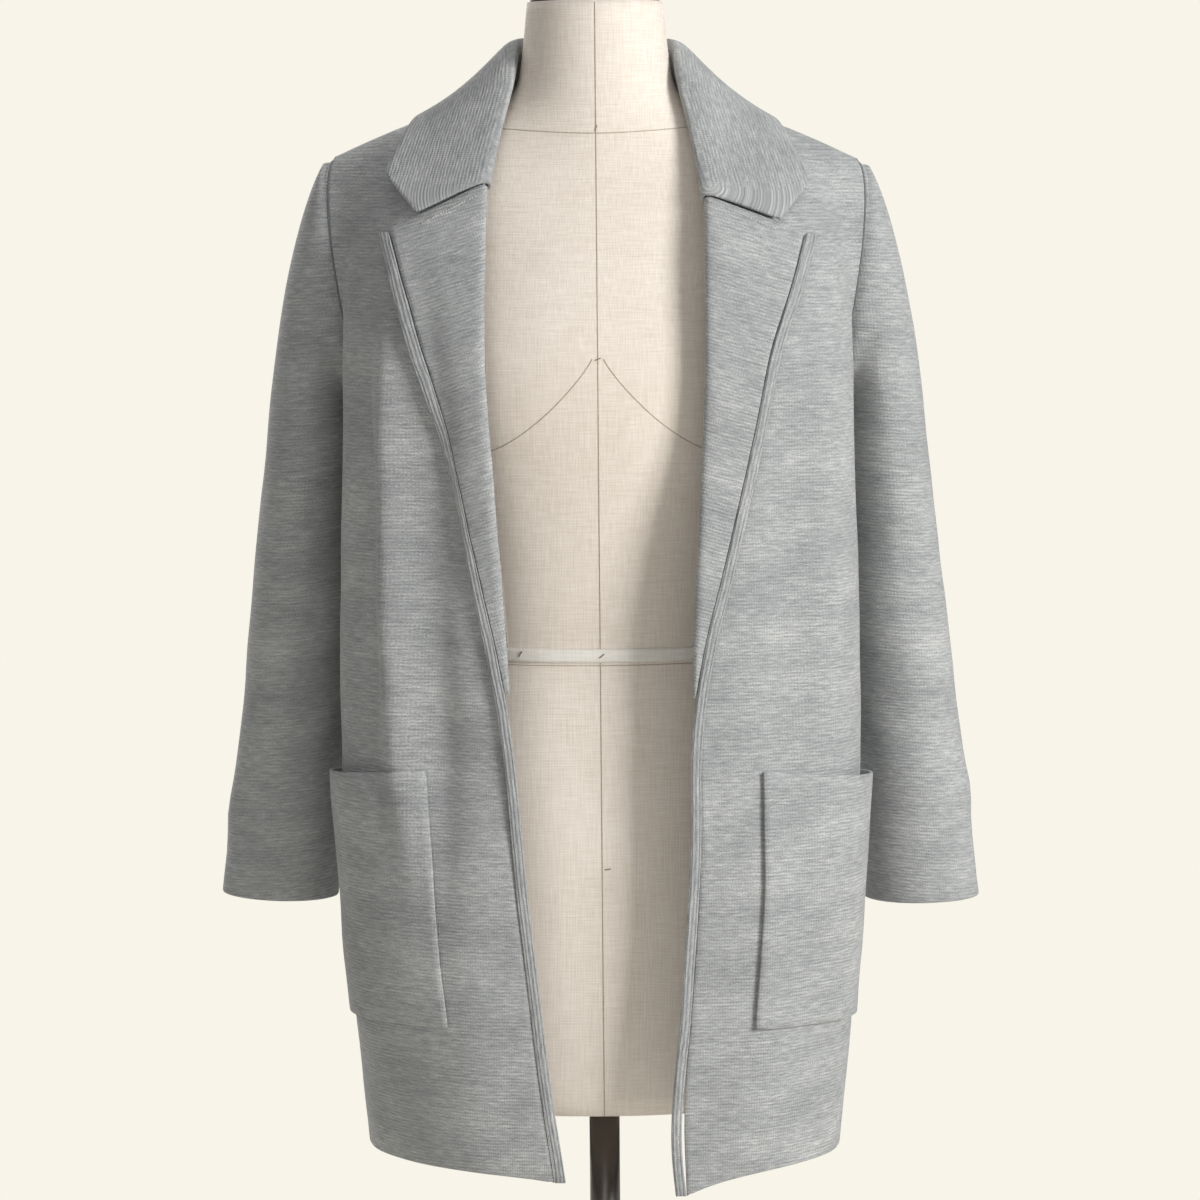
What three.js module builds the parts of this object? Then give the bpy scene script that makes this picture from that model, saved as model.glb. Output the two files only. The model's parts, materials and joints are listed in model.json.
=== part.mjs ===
// An open knit blazer with a notched collar, resting on a limbless dress form and its pole stand.
// Millimetres, +Z up, origin on the floor under the pole. The wearer's left is +X, the front is -Y.
import * as THREE from 'three';

// ---- driving sizes -------------------------------------------------------------------------
const CLOTH = 2.6;            // thickness of the double-knit cloth
const GAP = 0.3;              // air between two sewn pieces
const SEAM_HALF = 0.2;        // each panel stops this far from a side or shoulder seam
const BAND_WIDTH = 7.5;       // narrow band sewn along the lapel and front edges
const BAND_CLOTH = 3.2;       // the band is a little thicker than the cloth
const FOLD_RISE = 6.2;        // height of a lapel's top face over the front, beside the fold
const FOOT_RISE = 3.3;        // the same at the lapel's foot
const LIE_RISE = 4.4;         // the same at its outer edge
const FOLD_REACH = 4.0;       // how far the fold bulges past the front's edge
const HANG_TILT = 0.012;      // the garment hangs this much lower per mm towards the wearer's left
const CHEST_Z = 1218;         // level of the underarm
const HEM_Z = 668;
const SIDE_SEAM_Y = 20;
const SHOULDER_POINT = [192, 8, 1399];
const NECK_POINT = [69, 5, 1446];
const SHOULDER_BULGE = 3;     // rise of the shoulder seam over a straight line
const NECK_BACK = { y: 70, z: 1440 };
const ARMHOLE_HUB = [115, 12, 1303];  // the cut edges round the armhole face away from here
const FRONT_COLUMNS = 12;
const BACK_COLUMNS = 9;       // each side of the centre back
const BODY_ROWS = 9;          // hem to underarm
const YOKE_ROWS = 9;          // underarm to shoulder seam
const FORM_SIDES = 36;
const TAPE_Z = 1040;
const TAPE_WIDTH = 10;
const POLE_RADIUS = 11.5;
const BASE_RADIUS = 190;

// Level sections of the closed-up body: half width, y of the widest place, depths, roundness.
const BODY = [
  { z: 650, half: 174.5, mid: -28, front: 121, back: 149, frontPower: 2.5, backPower: 2.2 },
  { z: 700, half: 179, mid: -32, front: 117, back: 152, frontPower: 2.5, backPower: 2.2 },
  { z: 770, half: 184.5, mid: -40, front: 108, back: 160, frontPower: 2.5, backPower: 2.15 },
  { z: 900, half: 190.5, mid: -45, front: 100, back: 164, frontPower: 2.5, backPower: 2.15 },
  { z: 960, half: 191.5, mid: -45, front: 97, back: 162, frontPower: 2.5, backPower: 2.1 },
  { z: 1040, half: 190.5, mid: -45, front: 94, back: 158, frontPower: 2.5, backPower: 2.1 },
  { z: 1130, half: 188.5, mid: -45, front: 91, back: 157, frontPower: 2.5, backPower: 2.05 },
  { z: 1218, half: 186.5, mid: -45, front: 90, back: 160, frontPower: 2.5, backPower: 2 },
];

// What differs between the two fronts: reach is the distance of an edge from the centre.
const LEFT = {
  name: 'left',
  sign: 1,
  breakZ: 958,
  lapelFootZ: 1012,
  sleeveShift: -2,
  gorgeZ: 1368,
  tip: { reach: 153.4, z: 1341 },
  corner: { reach: 150.6, z: 1376 },
  notch: 0.66,
  hemDrop: 13,
  pocketInset: 52,
  edge: [
    { z: 655, reach: 51 }, { z: 692, reach: 47.5 }, { z: 773, reach: 54 }, { z: 899, reach: 62.5 },
    { z: 1000, reach: 65 }, { z: 1108, reach: 68 }, { z: 1193, reach: 73.5 }, { z: 1282, reach: 77 },
    { z: 1378, reach: 76.5 },
  ],
  lapel: [
    { z: 954, reach: 70 }, { z: 1003, reach: 73.5 }, { z: 1045, reach: 80.7 }, { z: 1119, reach: 98.3 },
    { z: 1202, reach: 118.3 }, { z: 1263, reach: 130.6 }, { z: 1310, reach: 145.3 },
    { z: 1341, reach: 153.4 },
  ],
};
const RIGHT = {
  name: 'right',
  sign: -1,
  breakZ: 985,
  lapelFootZ: 1015,
  sleeveShift: 0,
  gorgeZ: 1376,
  tip: { reach: 153.5, z: 1341 },
  corner: { reach: 150, z: 1381 },
  notch: 0.63,
  hemDrop: 3,
  pocketInset: 67,
  edge: [
    { z: 660, reach: 27.5 }, { z: 726, reach: 37 }, { z: 798, reach: 45.5 }, { z: 870, reach: 53 },
    { z: 1004, reach: 63.5 }, { z: 1109, reach: 70 }, { z: 1204, reach: 76.5 },
    { z: 1260, reach: 81.5 }, { z: 1340, reach: 80 }, { z: 1378, reach: 77.6 },
  ],
  lapel: [
    { z: 985, reach: 70.5 }, { z: 1023, reach: 76 }, { z: 1062, reach: 84.8 }, { z: 1147, reach: 103.1 },
    { z: 1210, reach: 119.7 }, { z: 1266, reach: 134.6 }, { z: 1302, reach: 142.6 },
    { z: 1341, reach: 153.5 },
  ],
};
const SIDES = [LEFT, RIGHT];

// Level sections of a sleeve: centre, half sizes.
const SLEEVE = [
  { z: 1180, x: 211.5, y: 31, halfX: 33, halfY: 56 },
  { z: 1110, x: 217.5, y: 34, halfX: 36, halfY: 52 },
  { z: 1056, x: 222, y: 34, halfX: 38, halfY: 49 },
  { z: 1005, x: 227, y: 33, halfX: 38.5, halfY: 46 },
  { z: 957, x: 232, y: 31, halfX: 39.5, halfY: 43 },
  { z: 905, x: 237.5, y: 29, halfX: 40.5, halfY: 39.5 },
  { z: 845, x: 243.7, y: 26, halfX: 41.5, halfY: 36 },
];
const SLEEVE_GAP = 1.0;       // air between a sleeve and its armhole
const SLEEVE_TOE_OUT = 0.14;  // a sleeve's front stands this much further out per mm

// The collar's fold line from the centre back (at 0) to the gorge (at 1).
const COLLAR_ROLL = [
  { at: 0, x: 0, y: 77, z: 1481 }, { at: 0.2, x: 34, y: 68, z: 1483 }, { at: 0.4, x: 57, y: 34, z: 1485 },
  { at: 0.5, x: 59.5, y: 8, z: 1483 },
  { at: 0.6, x: 60, y: -16, z: 1468 },
  { at: 0.7, x: 62.5, y: -34, z: 1446 },
  { at: 0.8, x: 68, y: -50, z: 1426 },
];

// Level sections of the dress form, from its flat bottom to the top of the neck.
const FORM = [
  { z: 702, half: 151, front: 98, back: 100, power: 2.15 },
  { z: 760, half: 158, front: 102, back: 106, power: 2.15 },
  { z: 840, half: 162, front: 105, back: 109, power: 2.15 },
  { z: 930, half: 153, front: 101, back: 100, power: 2.15 },
  { z: 1000, half: 134, front: 95, back: 90, power: 2.2 },
  { z: 1034, half: 124.5, front: 92.2, back: 84.5, power: 2.2 },
  { z: 1046, half: 124.2, front: 92.4, back: 84.2, power: 2.2 },
  { z: 1090, half: 128, front: 96, back: 86, power: 2.2 },
  { z: 1150, half: 138, front: 108, back: 92, power: 2.25 },
  { z: 1200, half: 147, front: 121, back: 96, power: 2.4 },
  { z: 1240, half: 153, front: 122, back: 98, power: 2.4 },
  { z: 1280, half: 159, front: 112, back: 99, power: 2.3 },
  { z: 1320, half: 164, front: 96, back: 92, power: 2.1 },
  { z: 1360, half: 170, front: 81, back: 80, power: 1.9 },
  { z: 1380, half: 170, front: 73, back: 71, power: 1.75 },
  { z: 1395, half: 162, front: 67, back: 63, power: 1.6 },
  { z: 1405, half: 146, front: 64, back: 57, power: 1.55 },
  { z: 1414, half: 125, front: 62, back: 53, power: 1.55 },
  { z: 1422, half: 103, front: 60, back: 51, power: 1.6 },
  { z: 1430, half: 84, front: 58, back: 51, power: 1.7 },
  { z: 1438, half: 70, front: 56, back: 51.5, power: 1.8 },
  { z: 1446, half: 61, front: 54, back: 52, power: 1.95 },
  { z: 1456, half: 56, front: 52, back: 52, power: 2 },
  { z: 1483, half: 53, front: 50, back: 51, power: 2 },
  { z: 1512, half: 50, front: 48, back: 48, power: 2 },
];

// ---- small maths -----------------------------------------------------------------------------
const clamp = (value) => Math.min(1, Math.max(0, value));
const mix = (a, b, t) => a + (b - a) * t;
const mix3 = (a, b, t) => a.map((value, k) => mix(value, b[k], t));
const add = (a, b, scale = 1) => a.map((value, k) => value + b[k] * scale);
const minus = (a, b) => a.map((value, k) => value - b[k]);
const length = (a) => Math.hypot(...a);
const unit = (a) => a.map((value) => value / (length(a) || 1));
const cross = (a, b) => [a[1] * b[2] - a[2] * b[1], a[2] * b[0] - a[0] * b[2], a[0] * b[1] - a[1] * b[0]];

function ease(low, high, value) {
  const t = clamp((value - low) / (high - low));
  return t * t * (3 - 2 * t);
}

// A smooth curve through the rows of a table, one column against another.
function track(rows, along, column, at) {
  const last = rows.length - 1;
  let k = 0;
  while (k < last - 1 && at > rows[k + 1][along]) k += 1;
  const a = rows[k];
  const b = rows[k + 1];
  const slope = (p, q) => (q[column] - p[column]) / (q[along] - p[along]);
  const span = b[along] - a[along];
  const here = slope(a, b);
  const slopeA = k > 0 ? (slope(rows[k - 1], a) + here) / 2 : here;
  const slopeB = k + 2 <= last ? (here + slope(b, rows[k + 2])) / 2 : here;
  const t = clamp((at - a[along]) / span);
  const t2 = t * t;
  const t3 = t2 * t;
  return (2 * t3 - 3 * t2 + 1) * a[column] + (t3 - 2 * t2 + t) * slopeA * span
    + (3 * t2 - 2 * t3) * b[column] + (t3 - t2) * slopeB * span;
}

function bezier(p0, p1, p2, p3, t) {
  const s = 1 - t;
  return p0.map((value, k) => s * s * s * value + 3 * s * s * t * p1[k]
    + 3 * s * t * t * p2[k] + t * t * t * p3[k]);
}

// ---- the body's surface ----------------------------------------------------------------------
function bodySection(z) {
  const level = Math.max(z, BODY[0].z);
  const section = {};
  for (const column of Object.keys(BODY[0])) section[column] = track(BODY, 'z', column, level);
  return section;
}

// A point of a level section, by its angle: 0 at the widest place, 90 degrees at the centre front.
function bodyPoint(angle, z) {
  const section = bodySection(z);
  const ahead = Math.sin(angle) >= 0;
  const power = ahead ? section.frontPower : section.backPower;
  const depth = ahead ? section.front : section.back;
  const radius = ((Math.abs(Math.cos(angle)) / section.half) ** power
    + (Math.abs(Math.sin(angle)) / depth) ** power) ** (-1 / power);
  return [radius * Math.cos(angle), section.mid - radius * Math.sin(angle), z];
}

function frontAngle(reach, z) {
  const s = bodySection(z);
  return Math.atan2(s.front * (1 - (reach / s.half) ** s.frontPower) ** (1 / s.frontPower), reach);
}

function seamAngle(z) {
  const s = bodySection(z);
  const back = SIDE_SEAM_Y - s.mid;
  return -Math.atan2(back, s.half * (1 - (back / s.back) ** s.backPower) ** (1 / s.backPower));
}

// How much of a lapel's fold has formed at a height: none at its lower end, all of it further up.
const foldGrowth = (side, z) => ease(side.lapelFootZ - 10, side.lapelFootZ + 80, z);

const edgeReach = (side, z) => track(side.edge, 'z', 'reach', z);
const lapelReach = (side, z) => track(side.lapel, 'z', 'reach', z);

// Where a front's cloth ends: inside the band below the break, at the lapel's fold above it.
function clothReach(side, z) {
  const band = (BAND_WIDTH + 1.8 * GAP) * (1 - ease(side.breakZ, side.breakZ + 25, z));
  return edgeReach(side, z) + Math.max(band, 0.8) + FOLD_REACH * foldGrowth(side, z);
}

function hemZ(side, u) {
  return HEM_Z + 14 * u * (1 - u) - side.hemDrop * u ** 6;
}

function shoulderSeam(u) {
  const point = mix3(SHOULDER_POINT, NECK_POINT, u);
  point[2] += 4 * SHOULDER_BULGE * u * (1 - u);
  return point;
}

// A front on the wearer's left, before it is mirrored: u from side to inner edge, v from hem to
// shoulder seam, with the underarm at v = 0.5.
function frontShape(side, u, v) {
  if (v <= 0.5) {
    const z = mix(hemZ(side, clamp(u)), CHEST_Z, v * 2);
    const start = seamAngle(z);
    return bodyPoint(mix(start, frontAngle(clothReach(side, z), z), u), z);
  }
  const base = frontShape(side, u, 0.5);
  const armhole = clamp(1 - u) ** 4;
  const top = shoulderSeam(u);
  const low = add(base, [mix(3 * u, 11, armhole), mix(-3, -80, armhole), mix(78, 16, armhole)]);
  const high = add(top, [16, -52 - 25 * u, -5 - 9 * u]);
  return bezier(base, low, high, top, v * 2 - 1);
}

// Half of the back, on the wearer's left: u from side seam and armhole to centre back.
const BACK_NECK_U = 0.62;
function backTop(u) {
  if (u <= BACK_NECK_U) return shoulderSeam(u / BACK_NECK_U);
  const turn = ((u - BACK_NECK_U) / (1 - BACK_NECK_U)) * Math.PI / 2;
  return [NECK_POINT[0] * Math.cos(turn), mix(NECK_POINT[1], NECK_BACK.y, Math.sin(turn)),
    mix(NECK_POINT[2], NECK_BACK.z, Math.sin(turn))];
}

function backShape(u, v) {
  if (v <= 0.5) {
    const z = mix(HEM_Z, CHEST_Z, v * 2);
    return bodyPoint(mix(seamAngle(z), -Math.PI / 2, u), z);
  }
  const base = backShape(u, 0.5);
  const armhole = clamp(1 - u) ** 4;
  const neck = ease(0.45, 0.95, u);
  const top = backTop(u);
  const low = add(base, [mix(0, -12, armhole), mix(9, 50, armhole), mix(88, 26, armhole)]);
  const high = add(top, [mix(9, 0, neck), mix(60, 28, neck), mix(-8, -34, neck)]);
  return bezier(base, low, high, top, v * 2 - 1);
}

// Outward direction of a surface at (u, v), from two short steps over it.
function facing(shape, u, v) {
  const step = 0.004;
  const du = minus(shape(clamp(u + step), v), shape(clamp(u - step), v));
  const dv = minus(shape(u, clamp(v + step)), shape(u, clamp(v - step)));
  return unit(cross(dv, du));
}

function onFront(side, u, v, rise) {
  const shape = (a, b) => frontShape(side, a, b);
  return add(frontShape(side, u, v), facing(shape, u, v), rise);
}

// The (u, v) of the front's point seen at a given reach and height.
function findOnFront(side, reach, z, guess = [0.6, 0.6]) {
  let [u, v] = guess;
  const step = 0.001;
  for (let turn = 0; turn < 30; turn += 1) {
    const here = frontShape(side, u, v);
    const alongU = minus(frontShape(side, u + step, v), here).map((value) => value / step);
    const alongV = minus(frontShape(side, u, v + step), here).map((value) => value / step);
    const det = alongU[0] * alongV[2] - alongU[2] * alongV[0];
    const missX = reach - here[0];
    const missZ = z - here[2];
    u = Math.min(1.3, Math.max(0.01, u + (missX * alongV[2] - missZ * alongV[0]) / det));
    v = Math.min(0.99, Math.max(0.01, v + (missZ * alongU[0] - missX * alongU[2]) / det));
  }
  return [u, v];
}

// ---- turning surfaces into cloth -------------------------------------------------------------
// Moves a piece made on the wearer's left to its own side and lets it hang with the garment.
function place(point, sign) {
  const x = point[0] * sign;
  return [x, point[1], point[2] - HANG_TILT * x];
}

// A closed body between two grids of points, rows by columns.
function wall(outer, inner, { ring = false } = {}) {
  const rows = outer.length;
  const columns = outer[0].length;
  const positions = [];
  for (const grid of [outer, inner]) for (const row of grid) for (const p of row) positions.push(...p);
  const index = (layer, i, j) => layer * rows * columns + i * columns + (ring ? j % columns : j);
  const faces = [];
  const quad = (a, b, c, d) => faces.push(a, b, c, a, c, d);
  const lastColumn = ring ? columns : columns - 1;
  for (let i = 0; i < rows - 1; i += 1) {
    for (let j = 0; j < lastColumn; j += 1) {
      quad(index(0, i, j), index(0, i, j + 1), index(0, i + 1, j + 1), index(0, i + 1, j));
      quad(index(1, i, j), index(1, i + 1, j), index(1, i + 1, j + 1), index(1, i, j + 1));
    }
  }
  for (let j = 0; j < lastColumn; j += 1) {
    quad(index(0, 0, j + 1), index(0, 0, j), index(1, 0, j), index(1, 0, j + 1));
    quad(index(0, rows - 1, j), index(0, rows - 1, j + 1), index(1, rows - 1, j + 1), index(1, rows - 1, j));
  }
  if (!ring) {
    for (let i = 0; i < rows - 1; i += 1) {
      quad(index(0, i, 0), index(0, i + 1, 0), index(1, i + 1, 0), index(1, i, 0));
      quad(index(0, i + 1, lastColumn), index(0, i, lastColumn), index(1, i, lastColumn),
        index(1, i + 1, lastColumn));
    }
  }
  return solid(positions, faces);
}

// A buffer geometry whose faces are turned outwards.
function solid(positions, faces) {
  let volume = 0;
  for (let k = 0; k < faces.length; k += 3) {
    const [a, b, c] = [0, 1, 2].map((n) => positions.slice(faces[k + n] * 3, faces[k + n] * 3 + 3));
    volume += a[0] * (b[1] * c[2] - b[2] * c[1]) + a[1] * (b[2] * c[0] - b[0] * c[2])
      + a[2] * (b[0] * c[1] - b[1] * c[0]);
  }
  if (volume < 0) {
    for (let k = 0; k < faces.length; k += 3) [faces[k + 1], faces[k + 2]] = [faces[k + 2], faces[k + 1]];
  }
  const geometry = new THREE.BufferGeometry();
  geometry.setAttribute('position', new THREE.Float32BufferAttribute(positions, 3));
  geometry.setIndex(faces);
  geometry.computeVertexNormals();
  return geometry;
}

// Both faces of a cloth from its points, the direction each faces, and its thickness.
function sheet(points, directions, sign, thickness = CLOTH, ring = false) {
  const outer = points.map((row) => row.map((p) => place(p, sign)));
  const inner = points.map((row, i) => row.map((p, j) => place(add(p, directions[i][j], -thickness), sign)));
  return wall(outer, inner, { ring });
}

const steps = (count) => Array.from({ length: count + 1 }, (_, k) => k / count);
const bodyLevels = [
  ...steps(BODY_ROWS).map((t) => t / 2),
  ...steps(YOKE_ROWS).slice(1).map((t) => 0.5 + t / 2),
];
const seamFacing = unit([NECK_POINT[2] - SHOULDER_POINT[2], 0, SHOULDER_POINT[0] - NECK_POINT[0]]);

// The direction in which a panel's thickness is taken. Pieces that share a seam share it there.
function panelFacing(shape, u, v) {
  const point = shape(u, v);
  if (u === 0 && v >= 0.5) return unit(minus(point, ARMHOLE_HUB));
  if (v === 1 && point[0] >= NECK_POINT[0] - 1) return seamFacing;
  return facing(shape, u, v);
}

function frontPanel(side) {
  const shape = (u, v) => frontShape(side, u, v);
  const points = [];
  const directions = [];
  for (const v of bodyLevels) {
    const row = steps(FRONT_COLUMNS).map((u) => shape(u, v));
    const away = steps(FRONT_COLUMNS).map((u) => panelFacing(shape, u, v));
    if (v < 0.5) row[0] = add(row[0], [0, -SEAM_HALF, 0]);
    if (v === 1) row.forEach((p, k) => { row[k] = add(p, [0, -SEAM_HALF, 0]); });
    if (v === 0.5) row[0] = add(row[0], [0, -SEAM_HALF, 0]);
    points.push(row);
    directions.push(away);
  }
  return sheet(points, directions, side.sign);
}

function backPanel() {
  const points = [];
  const directions = [];
  for (const v of bodyLevels) {
    const row = [];
    const away = [];
    for (let k = -BACK_COLUMNS; k <= BACK_COLUMNS; k += 1) {
      const u = 1 - Math.abs(k) / BACK_COLUMNS;
      const sign = k < 0 ? -1 : 1;
      let point = backShape(u, v);
      let out = facing(backShape, u, v).map((value) => -value);
      if (u === 0 && v >= 0.5) out = unit(minus(point, ARMHOLE_HUB));
      else if (v === 1 && u <= BACK_NECK_U) out = seamFacing;
      if (k === 0) out = unit([0, out[1], out[2]]);
      if (u === 0 && v <= 0.5) point = add(point, [0, SEAM_HALF, 0]);
      if (v === 1 && u <= BACK_NECK_U) point = add(point, [0, SEAM_HALF, 0]);
      row.push([point[0] * sign, point[1], point[2]]);
      away.push([out[0] * sign, out[1], out[2]]);
    }
    points.push(row);
    directions.push(away);
  }
  return sheet(points, directions, 1);
}

// ---- sleeves ---------------------------------------------------------------------------------
// The armhole's points, down its front from the shoulder to the underarm and up its back.
function armholeLoop(side) {
  const yoke = steps(YOKE_ROWS).map((t) => 0.5 + t / 2);
  const down = [...yoke].reverse().map((v) => frontShape(side, 0, v));
  const up = yoke.slice(1, -1).map((v) => backShape(0, v));
  return [...down, ...up];
}

function sleeveRing(side, z, turn) {
  const at = (column) => track([...SLEEVE].reverse(), 'z', column, z);
  const ahead = at('halfY') * Math.sin(turn);
  const x = at('x') + side.sleeveShift + at('halfX') * Math.cos(turn) - SLEEVE_TOE_OUT * ahead;
  return [x, at('y') + ahead, z + 0.05 * (x - at('x'))];
}

function sleeve(side) {
  const loop = armholeLoop(side).map((p) => add(p, [SLEEVE_GAP, 0, 0]));
  const count = loop.length;
  const half = YOKE_ROWS;
  // Turn angles run from the outside of the arm forwards, under it and back.
  const forwards = (f) => (f < 0.55 ? 0.5 * f / 0.55 : 0.5 + 0.5 * ((f - 0.55) / 0.45) ** 1.7);
  const share = (k) => (k <= half ? forwards(k / half) : 1 + (k - half) / (count - half));
  const turns = loop.map((_, k) => -Math.PI * share(k));
  const points = [loop];
  for (const t of [0.1, 0.24, 0.42, 0.62, 0.82]) {
    points.push(loop.map((p, k) => {
      const ring = sleeveRing(side, SLEEVE[0].z, turns[k]);
      const under = ease(0.6, 1, k <= half ? k / half : (count - k) / (count - half));
      const out = mix3([14, 0, -1], [17, 1, 4], under);
      const rise = mix(95, 34, under);
      return bezier(p, add(p, out), add(ring, [mix(-5, 3, under), 0, rise]), ring, t);
    }));
  }
  for (const row of SLEEVE) points.push(loop.map((_, k) => sleeveRing(side, row.z, turns[k])));
  const directions = points.map((row, i) => row.map((p, k) => {
    if (i === 0) return unit(minus(add(p, [-SLEEVE_GAP, 0, 0]), ARMHOLE_HUB));
    const next = row[(k + 1) % count];
    const before = row[(k + count - 1) % count];
    const below = points[Math.min(i + 1, points.length - 1)][k];
    const above = points[i - 1][k];
    return unit(cross(minus(next, before), minus(above, below)));
  }));
  return sheet(points, directions, side.sign, CLOTH, true);
}

// ---- lapels, bands and pockets ---------------------------------------------------------------
const LAPEL_ROWS = 13;
const FLAT_STEPS = 5;
const FOLD_STEPS = 4;

// A point of the front's surface by its reach and height, with the way it faces there.
function frontAt(side, reach, z) {
  if (z <= CHEST_Z) {
    const shape = (a, b) => bodyPoint(frontAngle(a, b), b);
    const du = minus(shape(reach + 2, z), shape(reach - 2, z));
    const dv = minus(shape(reach, z + 2), shape(reach, z - 2));
    return { point: shape(reach, z), out: unit(cross(du, dv)) };
  }
  const shape = (a, b) => frontShape(side, a, b);
  const [u, v] = findOnFront(side, reach, z, [1 - (reach - 80) / 100, 0.5 + (z - CHEST_Z) / 400]);
  return { point: shape(u, v), out: facing(shape, u, v) };
}

const lift = ({ point, out }, rise) => ({ point: add(point, out, rise), out });

// The front's own inner edge at a height, where its cloth turns into the lapel.
function foldEdge(side, z) {
  const shape = (a, b) => frontShape(side, a, b);
  let low = 0.1;
  let high = 0.99;
  for (let turn = 0; turn < 40; turn += 1) {
    const middle = (low + high) / 2;
    if (shape(1, middle)[2] < z) low = middle;
    else high = middle;
  }
  const point = shape(1, low);
  return { point, v: low, out: facing(shape, 1, low), ahead: unit(minus(point, shape(0.98, low))) };
}

// Heights of both ends of a lapel's row, r from the break to the gorge.
const outerZ = (side, r) => mix(side.breakZ, side.tip.z, r);
const innerZ = (side, r) => mix(side.breakZ, side.gorgeZ, r);

// How high a lapel's top face stands over the front, s from fold to outer edge. It starts low, at
// its foot just above the break.
function lapelRise(r, s) {
  const raised = mix(FOLD_RISE, LIE_RISE + 3 * ease(0.7, 1, r) * s, s);
  return mix(FOOT_RISE, raised, ease(0.1, 0.32, r));
}

function lapelPoint(side, r, s) {
  const from = foldEdge(side, innerZ(side, r)).point;
  const z = outerZ(side, r);
  const spot = frontAt(side, mix(from[0], lapelReach(side, z), s), mix(from[2], z, s));
  return lift(spot, lapelRise(r, s));
}

// The folded part of a row, from the front's edge round to the top face.
function foldPoint(side, r, turn) {
  const { point: edge, out, ahead } = foldEdge(side, innerZ(side, r));
  const top = lapelRise(r, 0);
  const middle = (top - CLOTH) / 2;
  const radius = (top + CLOTH) / 2;
  const past = 3 * GAP + FOLD_REACH * foldGrowth(side, edge[2]) * Math.sin(turn);
  return {
    point: add(add(edge, ahead, past), out, middle - radius * Math.cos(turn)),
    out: unit(add(ahead.map((value) => value * Math.sin(turn)), out, -Math.cos(turn))),
  };
}

// How far along a row the lapel reaches before the band takes over.
function bandStart(side, r) {
  const inner = foldEdge(side, innerZ(side, r)).point;
  let low = 0;
  let high = 1;
  for (let turn = 0; turn < 24; turn += 1) {
    const s = (low + high) / 2;
    const z = mix(inner[2], outerZ(side, r), s);
    const slope = (lapelReach(side, z + 2) - lapelReach(side, z - 2)) / 4;
    const room = lapelReach(side, z) - mix(inner[0], lapelReach(side, outerZ(side, r)), s);
    if (room > (BAND_WIDTH + 2 * GAP) * Math.hypot(1, slope)) low = s;
    else high = s;
  }
  return low;
}

function lapel(side) {
  const lowest = (side.lapelFootZ - side.breakZ) / (side.tip.z - side.breakZ);
  const points = [];
  const directions = [];
  for (const t of steps(LAPEL_ROWS)) {
    const r = mix(lowest, 1, t);
    const end = bandStart(side, r);
    const folded = steps(FOLD_STEPS).slice(0, -1).map((k) => foldPoint(side, r, k * Math.PI));
    const flat = steps(FLAT_STEPS).map((k) => lapelPoint(side, r, k * end));
    points.push([...folded, ...flat].map((entry) => entry.point));
    directions.push([...folded, ...flat].map((entry) => entry.out));
  }
  return sheet(points, directions, side.sign);
}

// The narrow band: down the lapel's outer edge, then down the front edge to the hem. Each row
// runs from the seam (k = 0) to the free edge (k = 1).
function bandOnLapel(side, z, k) {
  const slope = (lapelReach(side, z + 2) - lapelReach(side, z - 2)) / 4;
  const inwards = BAND_WIDTH * (1 - k) / Math.hypot(1, slope);
  const r = (z - side.breakZ) / (side.tip.z - side.breakZ);
  return lift(frontAt(side, lapelReach(side, z) - inwards, z + inwards * slope), lapelRise(r, 1));
}

function bandOnEdge(side, z, k) {
  const rise = mix(0.3, FOOT_RISE, ease(side.breakZ - 100, side.breakZ - 30, z));
  return lift(frontAt(side, edgeReach(side, z) + BAND_WIDTH * k, z), rise);
}

function edgeBand(side) {
  const across = [0, 0.5, 1];
  const lapelHeights = steps(13).map((t) => mix(side.tip.z, side.breakZ + 4, t));
  const edgeHeights = steps(10).map((t) => mix(side.breakZ - 14, hemZ(side, 1), t));
  const rows = [
    ...lapelHeights.map((z) => across.map((k) => bandOnLapel(side, z, k))),
    ...edgeHeights.map((z) => across.map((k) => bandOnEdge(side, z, k))),
  ];
  const points = rows.map((row) => row.map((entry, k) => add(entry.point, entry.out, k === 1 ? 0.9 : 0.5)));
  return sheet(points, rows.map((row) => row.map((entry) => entry.out)), side.sign, BAND_CLOTH);
}

const POCKET_TOP = { inner: 961, outer: 943 };
const POCKET_BOTTOM = { inner: 776, outer: 770 };

// A patch pocket, sewn along its sides and bottom: p from the side seam to its inner edge, q upwards.
function pocketPoint(side, p, q) {
  const top = mix(POCKET_TOP.outer, POCKET_TOP.inner, p);
  const bottom = mix(POCKET_BOTTOM.outer, POCKET_BOTTOM.inner, p);
  const z = mix(bottom, top, q);
  const start = seamAngle(z) + 0.02;
  const end = frontAngle(edgeReach(side, z) + side.pocketInset, z);
  const angle = mix(start, end, p);
  const shape = (a, b) => bodyPoint(a, b);
  const du = minus(shape(angle + 0.01, z), shape(angle - 0.01, z));
  const dv = minus(shape(angle, z + 2), shape(angle, z - 2));
  const out = unit(cross(dv, du));
  const held = ease(0, 0.25, p) * ease(0, 0.25, 1 - p);
  const rise = CLOTH + 1 + 1.2 * held * ease(0, 0.3, q) + 7 * held * (1 - p) * ease(0.45, 1, q);
  return { point: add(shape(angle, z), out, rise), out };
}

function pocket(side) {
  const grid = steps(8).map((q) => steps(9).map((p) => pocketPoint(side, p, q)));
  const points = grid.map((row) => row.map((entry) => entry.point));
  return sheet(points, grid.map((row) => row.map((entry) => entry.out)), side.sign);
}

// ---- the collar ------------------------------------------------------------------------------
const COLLAR_STEPS = 11;      // each side of the centre back
const NECK_TURN = 0.5;        // where the collar passes from back to front
const STAND_STEPS = 3;
const LEAF_STEPS = 6;

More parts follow.
